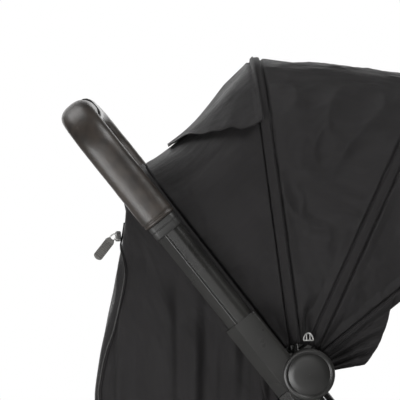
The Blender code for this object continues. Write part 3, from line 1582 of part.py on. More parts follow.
def main():
    """Builds the stroller and hangs each moving piece on its joint's axis."""
    handle = [build_handle_tube()]
    release_parts = build_release()
    rear = [build_rear_axle()]
    bar, pedal = build_brake()
    rear.append(bar)
    canopy_axis = hub_point(CANOPY_X, 0, CANOPY_Z)
    for label, side in SIDES:
        build_lower_tube(label, side)
        build_hub_pin(label, side)
        build_front_housing(label, side)
        handle += [build_knuckle(label, side), build_hub_cap(label, side)]
        handle += [build_grip(label, side), build_collar(label, side)]
        rear.append(build_rear_leg(label, side))
        wheel = hub_point(REAR_AXLE_X, side * rear_wheel_y(), axle_height(REAR_WHEEL_RADIUS))
        parts = build_wheel("rear", label, REAR_WHEEL_RADIUS, REAR_WHEEL_WIDTH, wheel)
        hold("rear_wheel_axis_" + label, wheel, parts)
        fork = build_fork(label, side)
        axle = build_front_axle(label, side)
        swivel = hub_point(SWIVEL_X, side * FRONT_HALF_TRACK, SWIVEL_BOTTOM_Z - HUB_Z)
        hold("front_swivel_axis_" + label, swivel, [fork, axle])
        wheel = hub_point(SWIVEL_X - FORK_TRAIL, side * FRONT_HALF_TRACK, axle_height(FRONT_WHEEL_RADIUS))
        parts = build_wheel("front", label, FRONT_WHEEL_RADIUS, FRONT_WHEEL_WIDTH, wheel)
        hold("front_wheel_axis_" + label, wheel, parts)
    handle.append(release_parts[0])
    hold("handle_fold_axis", HUB.copy(), handle)
    hold("release_axis", crossbar_point(RELEASE_OFFSET), [release_parts[1]])
    hold("lock_axis", crossbar_point(LOCK_OFFSET), [release_parts[2]])
    pivot = leg_pivot()
    hold("rear_leg_axis", hub_point(pivot.x, 0, pivot.y), rear)
    hold("brake_axis", hub_point(brake_bar().x, PEDAL_Y, brake_bar().y), [pedal])
    build_footrest_bar()
    build_seat_frame()
    build_seat_base()
    build_seat_pad()
    build_basket()
    _, button = build_buckle()
    hold("buckle_button_axis", hub_point(BUCKLE_X, 0, seat_pad_base()), [button])
    hold("calf_rest_axis", hub_point(SEAT_FRONT_X, 0, SEAT_Z), build_calf_rest())
    back = build_backrest()
    back += [build_shoulder_strap(label, side) for label, side in SIDES]
    slider, pull, pull_axis = build_zip()
    back += [build_surround(), slider]
    hold("backrest_axis", hub_point(SEAT_REAR_X, 0, SEAT_Z), back)
    hold("zip_pull_axis", pull_axis, [pull])
    build_canopy_slider()
    build_bow("canopy_bow_rear", 0, REAR_BOW_ANGLE, REAR_BOW_REACH)
    middle = build_bow("canopy_bow_middle", 1, MIDDLE_BOW_ANGLE, MIDDLE_BOW_REACH)
    front = build_bow("canopy_bow_front", 2, FRONT_BOW_ANGLE, FRONT_BOW_REACH)
    panels, _ = build_canopy_panels()
    hold("canopy_middle_axis", canopy_axis, [middle, panels[1]])
    hold("canopy_front_axis", canopy_axis.copy(), [front, panels[2]])


main()
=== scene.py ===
"""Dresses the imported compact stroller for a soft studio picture.

The cloth, the pads, the grips, the handle's tube, the hub covers, the tyres and the small
trim are modelled here. The other carried-over pieces are welded copies with eased edges.
Every length is in metres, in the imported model's own frame.
"""

from __future__ import annotations

import json
import logging
import math
from contextlib import contextmanager
from dataclasses import dataclass
from enum import Enum
from typing import Callable, Iterable, Iterator, Sequence

import bmesh
import bpy
from mathutils import Matrix, Vector, noise
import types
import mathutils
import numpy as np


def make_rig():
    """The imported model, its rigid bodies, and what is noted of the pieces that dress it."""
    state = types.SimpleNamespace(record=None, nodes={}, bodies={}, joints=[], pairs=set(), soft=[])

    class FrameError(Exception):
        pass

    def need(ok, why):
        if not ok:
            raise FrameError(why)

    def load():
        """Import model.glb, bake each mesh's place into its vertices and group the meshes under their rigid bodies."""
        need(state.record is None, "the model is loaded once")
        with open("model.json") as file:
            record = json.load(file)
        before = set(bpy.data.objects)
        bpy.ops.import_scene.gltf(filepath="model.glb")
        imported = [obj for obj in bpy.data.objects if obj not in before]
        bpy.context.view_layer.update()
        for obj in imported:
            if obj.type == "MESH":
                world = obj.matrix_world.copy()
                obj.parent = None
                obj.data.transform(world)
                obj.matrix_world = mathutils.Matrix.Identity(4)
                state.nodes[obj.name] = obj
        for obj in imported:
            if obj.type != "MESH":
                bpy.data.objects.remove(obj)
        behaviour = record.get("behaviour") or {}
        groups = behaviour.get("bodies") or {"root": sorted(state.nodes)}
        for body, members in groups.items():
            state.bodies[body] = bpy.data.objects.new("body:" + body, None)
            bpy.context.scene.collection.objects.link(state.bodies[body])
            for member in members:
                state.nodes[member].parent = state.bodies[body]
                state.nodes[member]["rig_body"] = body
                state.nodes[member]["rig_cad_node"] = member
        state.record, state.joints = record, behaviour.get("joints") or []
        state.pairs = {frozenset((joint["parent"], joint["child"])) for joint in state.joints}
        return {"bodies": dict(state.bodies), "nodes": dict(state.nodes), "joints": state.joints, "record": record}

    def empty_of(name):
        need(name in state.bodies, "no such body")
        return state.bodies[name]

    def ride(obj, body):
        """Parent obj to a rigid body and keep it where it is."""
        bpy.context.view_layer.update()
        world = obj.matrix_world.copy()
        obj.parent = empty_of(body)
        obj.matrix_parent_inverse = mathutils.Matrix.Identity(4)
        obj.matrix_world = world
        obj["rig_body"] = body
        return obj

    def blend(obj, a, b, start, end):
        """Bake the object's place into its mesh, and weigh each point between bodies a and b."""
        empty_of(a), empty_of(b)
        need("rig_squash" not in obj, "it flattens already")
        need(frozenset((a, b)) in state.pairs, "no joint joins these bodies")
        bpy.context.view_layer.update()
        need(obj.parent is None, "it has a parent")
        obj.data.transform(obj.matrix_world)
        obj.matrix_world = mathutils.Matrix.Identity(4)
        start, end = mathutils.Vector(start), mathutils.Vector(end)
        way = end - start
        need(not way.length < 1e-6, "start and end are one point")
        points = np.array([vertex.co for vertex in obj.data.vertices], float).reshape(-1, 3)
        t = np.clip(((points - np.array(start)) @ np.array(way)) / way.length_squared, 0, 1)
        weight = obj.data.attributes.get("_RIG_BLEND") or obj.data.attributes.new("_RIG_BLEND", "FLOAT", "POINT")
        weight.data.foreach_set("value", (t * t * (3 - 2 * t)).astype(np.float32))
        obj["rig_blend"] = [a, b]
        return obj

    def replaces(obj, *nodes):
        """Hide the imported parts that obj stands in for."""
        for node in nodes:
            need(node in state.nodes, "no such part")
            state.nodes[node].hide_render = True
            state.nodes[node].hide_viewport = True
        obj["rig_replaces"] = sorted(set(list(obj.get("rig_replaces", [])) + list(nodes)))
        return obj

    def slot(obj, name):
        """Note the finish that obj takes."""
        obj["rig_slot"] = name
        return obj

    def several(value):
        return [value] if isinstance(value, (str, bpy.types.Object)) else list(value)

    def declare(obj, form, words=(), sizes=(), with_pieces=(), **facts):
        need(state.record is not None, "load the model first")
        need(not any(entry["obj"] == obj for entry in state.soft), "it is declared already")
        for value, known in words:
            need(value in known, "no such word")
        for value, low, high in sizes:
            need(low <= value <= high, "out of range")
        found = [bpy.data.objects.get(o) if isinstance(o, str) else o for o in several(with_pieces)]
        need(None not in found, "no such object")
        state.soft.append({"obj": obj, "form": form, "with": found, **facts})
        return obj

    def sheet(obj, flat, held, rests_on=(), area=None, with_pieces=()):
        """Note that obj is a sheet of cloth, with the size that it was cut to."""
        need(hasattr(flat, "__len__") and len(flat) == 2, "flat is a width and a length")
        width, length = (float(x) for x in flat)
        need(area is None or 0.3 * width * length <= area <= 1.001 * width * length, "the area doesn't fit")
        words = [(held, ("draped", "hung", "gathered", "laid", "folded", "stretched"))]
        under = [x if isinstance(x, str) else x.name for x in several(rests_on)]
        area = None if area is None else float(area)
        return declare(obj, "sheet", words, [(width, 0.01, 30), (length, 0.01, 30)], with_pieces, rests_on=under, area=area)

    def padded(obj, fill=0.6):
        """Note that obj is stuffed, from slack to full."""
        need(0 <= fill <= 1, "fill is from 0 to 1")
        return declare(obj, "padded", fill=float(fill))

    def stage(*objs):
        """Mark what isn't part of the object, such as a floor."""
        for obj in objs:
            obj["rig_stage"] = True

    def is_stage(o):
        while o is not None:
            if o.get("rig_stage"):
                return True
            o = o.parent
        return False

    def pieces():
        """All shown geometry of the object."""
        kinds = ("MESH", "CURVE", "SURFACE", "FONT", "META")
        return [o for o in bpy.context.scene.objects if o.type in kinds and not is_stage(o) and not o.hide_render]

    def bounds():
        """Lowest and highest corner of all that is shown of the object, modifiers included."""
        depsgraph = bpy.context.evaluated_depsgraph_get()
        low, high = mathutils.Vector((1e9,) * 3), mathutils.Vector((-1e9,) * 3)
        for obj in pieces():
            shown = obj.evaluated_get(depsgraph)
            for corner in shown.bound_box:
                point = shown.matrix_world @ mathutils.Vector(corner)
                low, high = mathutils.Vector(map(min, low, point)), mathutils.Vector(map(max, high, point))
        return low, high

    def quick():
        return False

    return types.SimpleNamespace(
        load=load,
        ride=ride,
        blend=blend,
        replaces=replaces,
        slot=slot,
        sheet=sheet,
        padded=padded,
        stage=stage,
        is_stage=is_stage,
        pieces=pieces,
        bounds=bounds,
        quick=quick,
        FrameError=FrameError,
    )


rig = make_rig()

LOG = logging.getLogger("stroller")
SIZE_FILE = "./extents.json"
Tone = tuple[float, float, float]
Place = Callable[[float, float], Vector]
Piece = bpy.types.Object
Socket = bpy.types.NodeSocket


class Side(Enum):
    """The two sides of the stroller, by the sign of Y."""

    NEAR = -1
    FAR = 1

    @property
    def label(self) -> str:
        """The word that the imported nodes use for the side."""
        return self.name.lower()


class Reads(Enum):
    """The coordinates that a pattern follows."""

    PLACE = "Object"
    CLOTH = "UV"


class Line:
    """Outlines and curves in two and three dimensions."""

    @staticmethod
    def rounded(corners: Sequence[tuple[float, float, float]], steps: int, closed: bool = True) -> list[Vector]:
        """Turns (x, y, radius) corners into points with an arc at each rounded corner.

        Args:
            corners: The corners in order, each with its radius.
            steps: The straight pieces in each arc.
            closed: Whether the last corner leads back to the first.

        Returns:
            The points in order.
        """
        points: list[Vector] = []
        for index, (x, y, radius) in enumerate(corners):
            here = Vector((x, y))
            if radius <= 0 or (not closed and index in (0, len(corners) - 1)):
                points.append(here)
                continue
            before = Vector(corners[index - 1][:2]) - here
            after = Vector(corners[(index + 1) % len(corners)][:2]) - here
            half = before.angle(after) / 2
            start = here + before.normalized() * (radius / math.tan(half))
            bisector = (before.normalized() + after.normalized()).normalized()
            centre = here + bisector * (radius / math.sin(half))
            turn = -1 if before.x * after.y - before.y * after.x > 0 else 1
            sweep = turn * (math.pi - 2 * half)
            arm = start - centre
            points += [centre + Matrix.Rotation(sweep * step / steps, 2) @ arm for step in range(steps + 1)]
        return points

    @staticmethod
    def spread(points: Sequence[Vector], count: int) -> list[Vector]:
        """Spreads points evenly along a path.

        Args:
            points: The path's own points.
            count: How many points to return.

        Returns:
            Evenly spaced points from the path's start to its end.
        """
        lengths = [0.0]
        for before, after in zip(points, points[1:]):
            lengths.append(lengths[-1] + (after - before).length)
        spread: list[Vector] = []
        segment = 0
        for index in range(count):
            target = lengths[-1] * index / (count - 1)
            while segment < len(points) - 2 and lengths[segment + 1] < target:
                segment += 1
            share = (target - lengths[segment]) / (lengths[segment + 1] - lengths[segment])
            spread.append(points[segment].lerp(points[segment + 1], share))
        return spread

    @staticmethod
    def read(knots: Sequence[tuple[float, float]], z: float) -> float:
        """Reads a smooth value between (z, value) knots.

        Args:
            knots: The knots in rising z.
            z: The height to read at.

        Returns:
            The value there, with Catmull-Rom slopes at the knots.
        """
        index = 0
        while index < len(knots) - 2 and knots[index + 1][0] < z:
            index += 1
        low, high = knots[index], knots[index + 1]
        before, after = knots[max(index - 1, 0)], knots[min(index + 2, len(knots) - 1)]
        width = high[0] - low[0]
        low_slope = (high[1] - before[1]) / (high[0] - before[0]) * width
        high_slope = (after[1] - low[1]) / (after[0] - low[0]) * width
        t = min(max((z - low[0]) / width, 0.0), 1.0)
        t2, t3 = t * t, t ** 3
        rise = (2 * t3 - 3 * t2 + 1) * low[1] + (3 * t2 - 2 * t3) * high[1]
        return rise + (t3 - 2 * t2 + t) * low_slope + (t3 - t2) * high_slope

    @staticmethod
    def through(knots: Sequence[Vector], share: float) -> Vector:
        """A point of the smooth curve through knots.

        Args:
            knots: The points that the curve passes through.
            share: How far along, from 0 to 1.

        Returns:
            The point.
        """
        spot = min(max(share, 0.0), 1.0) * (len(knots) - 1)
        index = min(int(spot), len(knots) - 2)
        t = spot - index
        before, low = knots[max(index - 1, 0)], knots[index]
        high, after = knots[index + 1], knots[min(index + 2, len(knots) - 1)]
        curve = 2 * low + (high - before) * t
        curve += (2 * before - 5 * low + 4 * high - after) * t ** 2
        curve += (3 * low - before - 3 * high + after) * t ** 3
        return curve * 0.5

    @staticmethod
    def length(points: Sequence[Vector]) -> float:
        """The length of a path."""
        return sum((b - a).length for a, b in zip(points, points[1:]))

    @staticmethod
    def box(half_x: float, half_y: float, corner: float, steps: int) -> list[Vector]:
        """A rectangle about the origin with rounded corners."""
        spots = ((-half_x, -half_y), (half_x, -half_y), (half_x, half_y), (-half_x, half_y))
        return Line.rounded([(x, y, corner) for x, y in spots], steps)

    @staticmethod
    def mirrored(side: Sequence[tuple[float, float, float]], steps: int) -> list[tuple[float, float]]:
        """A wheel's half profile of (radius, out, corner) closed with its mirror image and rounded."""
        whole = [*side, *((reach, -out, corner) for reach, out, corner in reversed(side))]
        return [(point.x, point.y) for point in Line.rounded(whole, steps)]


@dataclass(frozen=True)
class Stance:
    """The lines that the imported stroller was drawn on."""

    hub_x: float = -0.054
    hub_z: float = 0.665
    rail_half_span: float = 0.200
    rail_slope: float = math.radians(51.45)
    rail_behind_hub: float = 0.0252
    seat_rear_x: float = -0.055
    seat_z: float = -0.200
    back_lean: float = math.radians(21.5)
    pad_back: float = -0.1854
    pad_depth: float = 0.030

    @property
    def rail_up(self) -> Vector:
        """The direction up along the rails."""
        return Vector((-math.cos(self.rail_slope), 0, math.sin(self.rail_slope)))

    @property
    def rail_front(self) -> Vector:
        """The direction square to the rails, to their front."""
        return Vector((math.sin(self.rail_slope), 0, math.cos(self.rail_slope)))

    @property
    def rail_foot(self) -> Vector:
        """The point of the rails' middle line beside the hub."""
        return self.at(0, 0, 0) - self.rail_front * self.rail_behind_hub

    @property
    def rail_plane(self) -> Matrix:
        """A drawing plane in the rails: X across, Y up along them, Z to their front."""
        return self.axes(self.rail_foot, Vector((0, 1, 0)), self.rail_up, self.rail_front)

    def at(self, x: float, y: float, z: float) -> Vector:
        """A point of the side view, measured from the hub."""
        return Vector((self.hub_x + x, y, self.hub_z + z))

    def back_plane(self, up: float = 0.0, front: float = 0.0) -> Matrix:
        """A drawing plane on the backrest: X across, Y up it, Z to its front."""
        lean = self.back_lean
        rise = Vector((-math.sin(lean), 0, math.cos(lean)))
        ahead = Vector((math.cos(lean), 0, math.sin(lean)))
        base = self.axes(self.at(self.seat_rear_x, 0, self.seat_z), Vector((0, 1, 0)), rise, ahead)
        return base @ Matrix.Translation((0, up, front))

    @staticmethod
    def axes(origin: Vector, x_axis: Vector, y_axis: Vector, z_axis: Vector) -> Matrix:
        """A placement from an origin and three axes."""
        return Matrix.Translation(origin) @ Matrix((x_axis, y_axis, z_axis)).transposed().to_4x4()


class Mesher:
    """Shapes meshes with bmesh operators and hands them over as objects."""

    eased_above: float = 27.0
    flat_within: float = 0.6
    weld_gap: float = 0.00002

    @staticmethod
    def finish(work: bmesh.types.BMesh, name: str, sharp: float = 35.0) -> Piece:
        """Turns finished work into an object with smooth shading.

        Args:
            work: The bmesh, freed here.
            name: The new object's name.
            sharp: The angle in degrees past which an edge stays sharp.

        Returns:
            The object, at the origin.
        """
        mesh = bpy.data.meshes.new(name)
        work.to_mesh(mesh)
        work.free()
        mesh.shade_smooth()
        mesh.set_sharp_from_angle(angle=math.radians(sharp))
        piece = bpy.data.objects.new(name, mesh)
        bpy.context.scene.collection.objects.link(piece)
        return piece

    @staticmethod
    def sweep(
        name: str, section: Sequence[Vector], stations: Sequence[Matrix], loop: bool = False, sharp: float = 35.0
    ) -> Piece:
        """Carries a closed section through a row of placements.

        Args:
            name: The new object's name.
            section: The section's points in the XY plane.
            stations: The section's placements in order.
            loop: Whether the last station joins the first one, with no caps.
            sharp: The angle in degrees past which an edge stays sharp.

        Returns:
            The swept object, with its uv map along and round it in metres.
        """
        work = bmesh.new()
        verts = [work.verts.new(stations[0] @ Vector((point[0], point[1], 0.0))) for point in section]
        ring = [work.edges.new((a, b)) for a, b in zip(verts, verts[1:] + verts[:1])]
        rings = [ring]
        around, girth = {verts[0]: 0.0}, 0.0
        for a, b in zip(verts, verts[1:] + verts[:1]):
            girth += (b.co - a.co).length
            around.setdefault(b, girth)
        spots = {vert: (0.0, share) for vert, share in around.items()}
        long = 0.0
        for before, after in zip(stations, stations[1:]):
            made = bmesh.ops.extrude_edge_only(work, edges=rings[-1])["geom"]
            tips = {item for item in made if isinstance(item, bmesh.types.BMVert)}
            long += (after.translation - before.translation).length
            for tip in tips:
                old = next(edge.other_vert(tip) for edge in tip.link_edges if edge.other_vert(tip) not in tips)
                spots[tip] = (long, spots[old][1])
            bmesh.ops.transform(work, matrix=after @ before.inverted(), verts=list(tips))
            fresh = [item for item in made if isinstance(item, bmesh.types.BMEdge)]
            rings.append([edge for edge in fresh if edge.verts[0] in tips and edge.verts[1] in tips])
        if loop:
            bmesh.ops.bridge_loops(work, edges=rings[0] + rings[-1])
        else:
            bmesh.ops.edgeloop_fill(work, edges=rings[0])
            bmesh.ops.edgeloop_fill(work, edges=rings[-1])
        bmesh.ops.recalc_face_normals(work, faces=work.faces)
        skin = work.loops.layers.uv.new("skin")
        for face in work.faces:
            marks = [spots[corner.vert] for corner in face.loops]
            wraps = max(mark[1] for mark in marks) - min(mark[1] for mark in marks) > girth / 2
            for corner, (far, turn) in zip(face.loops, marks):
                corner[skin].uv = (far, turn + girth if wraps and turn < girth / 2 else turn)
        return Mesher.finish(work, name, sharp)

    @staticmethod
    def grid(name: str, columns: int, rows: int, place: Place, sharp: float = 70.0) -> Piece:
        """Lays a grid by a function of its two shares, with a uv map in metres.

        Args:
            name: The new object's name.
            columns: The faces along u.
            rows: The faces along v.
            place: Gives the point at (u, v), both from 0 to 1.
            sharp: The angle in degrees past which an edge stays sharp.

        Returns:
            The open sheet.
        """
        work = bmesh.new()
        cloth = work.loops.layers.uv.new("cloth")
        bmesh.ops.create_grid(work, x_segments=columns, y_segments=rows, size=0.5, calc_uvs=True)
        shares = {vert: (vert.co.x + 0.5, vert.co.y + 0.5) for vert in work.verts}
        for vert, (u, v) in shares.items():
            vert.co = place(u, v)
        wide = Line.length([place(i / 24, 0.5) for i in range(25)])
        tall = Line.length([place(0.5, i / 24) for i in range(25)])
        for face in work.faces:
            for corner in face.loops:
                u, v = shares[corner.vert]
                corner[cloth].uv = (u * wide, v * tall)
        return Mesher.finish(work, name, sharp)

    @staticmethod
    def spin(
        name: str, profile: Sequence[tuple[float, float]], centre: Vector, hand: int, steps: int, sharp: float
    ) -> Piece:
        """Turns a (radius, outward distance) profile round an axle across the stroller.

        Args:
            name: The new object's name.
            profile: The closed profile.
            centre: The middle of the turned piece.
            hand: The sign of Y that outward distances point to.
            steps: The faces round the axle.
            sharp: The angle in degrees past which an edge stays sharp.

        Returns:
            The turned object.
        """
        work = bmesh.new()
        verts = [work.verts.new(centre + Vector((radius, hand * out, 0))) for radius, out in profile]
        edges = [work.edges.new((a, b)) for a, b in zip(verts, verts[1:] + verts[:1])]
        bmesh.ops.spin(
            work, geom=verts + edges, cent=centre, axis=(0, 1, 0), angle=2 * math.pi, steps=steps, use_merge=True
        )
        bmesh.ops.remove_doubles(work, verts=work.verts, dist=0.00001)
        bmesh.ops.recalc_face_normals(work, faces=work.faces)
        return Mesher.finish(work, name, sharp)

    @staticmethod
    def tube(name: str, points: Sequence[Vector], radius: float, sides: int, loop: bool = False) -> Piece:
        """A round tube along points in space.

        Args:
            name: The new object's name.
            points: The points of the middle line.
            radius: The tube's radius.
            sides: The faces round it.
            loop: Whether the tube closes on itself.

        Returns:
            The tube.
        """
        section = [Vector((radius * math.cos(a), radius * math.sin(a))) for a in Mesher.angles(sides)]
        return Mesher.sweep(name, section, Mesher.frames(points, loop), loop, 60.0)

    @staticmethod
    def prism(name: str, outline: Sequence[Vector], depth: float, placement: Matrix) -> Piece:
        """Extrudes an outline both ways from its drawing plane.

        Args:
            name: The new object's name.
            outline: The outline's points.
            depth: The whole depth.
            placement: Where the drawing plane lies.

        Returns:
            The closed prism.
        """
        work = bmesh.new()
        base = work.faces.new([work.verts.new((point.x, point.y, -depth / 2)) for point in outline])
        made = bmesh.ops.extrude_face_region(work, geom=[base])["geom"]
        top = [item for item in made if isinstance(item, bmesh.types.BMVert)]
        bmesh.ops.translate(work, verts=top, vec=(0, 0, depth))
        bmesh.ops.transform(work, matrix=placement, verts=work.verts)
        bmesh.ops.recalc_face_normals(work, faces=work.faces)
        return Mesher.finish(work, name)

    @staticmethod
    def carved(piece: Piece, cutters: Sequence[Piece]) -> Piece:
        """Cuts the cutters out of a piece and removes them."""
        for cutter in cutters:
            step = piece.modifiers.new("window", "BOOLEAN")
            step.operation = "DIFFERENCE"
            step.solver = "EXACT"
            step.object = cutter
        Mesher.applied(piece)
        for cutter in cutters:
            bpy.data.objects.remove(cutter)
        return piece

    @staticmethod
    def angles(count: int) -> list[float]:
        """Evenly spread angles round a circle."""
        return [2 * math.pi * index / count for index in range(count)]

    @staticmethod
    def frames(points: Sequence[Vector], loop: bool = False) -> list[Matrix]:
        """Placements along points, with Z ahead and as little twist as possible.

        Args:
            points: The points in order.
            loop: Whether the last point leads back to the first.

        Returns:
            One placement for each point.
        """
        stations: list[Matrix] = []
        side = Vector((0, 0, 1))
        count = len(points)
        for index, point in enumerate(points):
            before = points[index - 1] if index or loop else point
            after = points[(index + 1) % count] if index < count - 1 or loop else point
            ahead = (after - before).normalized()
            if abs(side.dot(ahead)) > 0.98:
                side = Vector((1, 0, 0)) if abs(ahead.x) < 0.9 else Vector((0, 1, 0))
            side = (side - ahead * side.dot(ahead)).normalized()
            stations.append(Stance.axes(point, side, ahead.cross(side), ahead))
        return stations

    @staticmethod
    def welded(node: Piece, name: str) -> Piece:
        """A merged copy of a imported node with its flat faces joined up.

        Args:
            node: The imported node.
            name: The copy's name.

        Returns:
            The copy.
        """
        work = bmesh.new()
        work.from_mesh(node.data)
        flat = math.radians(Mesher.flat_within)
        bmesh.ops.remove_doubles(work, verts=work.verts, dist=Mesher.weld_gap)
        bmesh.ops.dissolve_limit(work, angle_limit=flat, verts=work.verts, edges=work.edges)
        return Mesher.finish(work, name, Mesher.eased_above)

    @staticmethod
    def eased(piece: Piece, width: float) -> Piece:
        """Rounds a piece's sharp edges.

        Args:
            piece: The piece to soften.
            width: The rounding's width.

        Returns:
            The same piece.
        """
        step = piece.modifiers.new("eased edges", "BEVEL")
        step.width = width
        step.segments = 2
        step.limit_method = "ANGLE"
        step.angle_limit = math.radians(Mesher.eased_above)
        step.harden_normals = True
        return piece

    @staticmethod
    def thickened(piece: Piece, thickness: float, offset: float = 1.0) -> Piece:
        """Gives an open sheet its thickness.

        Args:
            piece: The sheet.
            thickness: The cloth's thickness.
            offset: Which side of the sheet the thickness goes to.

        Returns:
            The same sheet.
        """
        step = piece.modifiers.new("cloth", "SOLIDIFY")
        step.thickness = thickness
        step.offset = offset
        step.use_even_offset = True
        return piece

    @staticmethod
    def cloth(name: str, cells: tuple[int, int], place: Place, thickness: float, offset: float = 1.0) -> Piece:
        """Lays a grid and gives it its thickness.

        Args:
            name: The new object's name.
            cells: The faces along u and v.
            place: Gives the point at (u, v), both from 0 to 1.
            thickness: The cloth's thickness.
            offset: Which side of the grid the thickness goes to.

        Returns:
            The closed cloth.
        """
        return Mesher.applied(Mesher.thickened(Mesher.grid(name, *cells, place), thickness, offset))

    @staticmethod
    def one_side(piece: Piece) -> float:
        """The area of one side of a cloth."""
        return sum(face.area for face in piece.data.polygons) / 2

    @staticmethod
    @contextmanager
    def edited(piece: Piece) -> Iterator[bmesh.types.BMesh]:
        """Opens a piece's mesh for bmesh operators and puts the result back."""
        work = bmesh.new()
        work.from_mesh(piece.data)
        yield work
        work.to_mesh(piece.data)
        work.free()

    @staticmethod
    def applied(piece: Piece) -> Piece:
        """Bakes a piece's modifiers into its mesh."""
        graph = bpy.context.evaluated_depsgraph_get()
        mesh = bpy.data.meshes.new_from_object(piece.evaluated_get(graph), depsgraph=graph)
        piece.modifiers.clear()
        piece.data = mesh
        return piece

    @staticmethod
    def merged(pieces: Sequence[Piece]) -> Piece:
        """Puts several meshes into the first piece and removes the others."""
        work = bmesh.new()
        for piece in pieces:
            work.from_mesh(piece.data)
        work.to_mesh(pieces[0].data)
        work.free()
        for piece in pieces[1:]:
            bpy.data.objects.remove(piece)
        return pieces[0]

    @staticmethod
    def ruffled(piece: Piece, depth: Callable[[Vector, Vector], float]) -> Piece:
        """Moves each point of a mesh along its normal.

        Args:
            piece: The piece to change.
            depth: Gives the move for a point and its normal.

        Returns:
            The same piece.
        """
        with Mesher.edited(piece) as work:
            work.normal_update()
            moves = {vert: vert.normal * depth(vert.co, vert.normal) for vert in work.verts}
            for vert, move in moves.items():
                vert.co += move
        return piece


class Bench:
    """Adds and wires the nodes of one shader tree."""

    def __init__(self, tree: bpy.types.NodeTree) -> None:
        """Keeps the tree to work in."""
        self.tree = tree

    def feed(self, socket: Socket, value: object) -> None:
        """Wires a socket, or sets its number, vector or colour."""
        if isinstance(value, Socket):
            self.tree.links.new(value, socket)
        else:
            socket.default_value = value

    def node(self, kind: str, inputs: dict[str | int, object], **settings: object) -> bpy.types.Node:
        """Adds a node.

        Args:
            kind: The node's type.
            inputs: What each of its inputs is fed or set to.
            settings: The node's own options.

        Returns:
            The node.
        """
        node = self.tree.nodes.new(kind)
        for key, value in settings.items():
            setattr(node, key, value)
        for key, value in inputs.items():
            self.feed(node.inputs[key], value)
        return node

    def sum(self, operation: str, *values: object) -> Socket:
        """The result of a Math node."""
        return self.node("ShaderNodeMath", dict(enumerate(values)), operation=operation).outputs[0]

    def span(self, value: object, low: float, high: float, start: float = 0.0, end: float = 1.0) -> Socket:
        """Spreads a value from one range over another.

        Args:
            value: The value to read.
            low: Where the read range starts.
            high: Where it ends.
            start: The result at the low end.
            end: The result at the high end.

        Returns:
            The clamped result.
        """
        inputs = {"Value": value, "From Min": low, "From Max": high, "To Min": start, "To Max": end}
        return self.node("ShaderNodeMapRange", inputs).outputs[0]

    def tint(self, factor: object, first: Tone, second: Tone) -> Socket:
        """Mixes two colours by a mask."""
        inputs = {0: factor, 6: (*first, 1.0), 7: (*second, 1.0)}
        return self.node("ShaderNodeMix", inputs, data_type="RGBA").outputs[2]

    def speckle(self, place: object, scale: object, detail: float = 3.0) -> Socket:
        """The value of a Noise Texture."""
        inputs = {"Vector": place, "Scale": scale, "Detail": detail, "Roughness": 0.55}
        return self.node("ShaderNodeTexNoise", inputs).outputs[0]


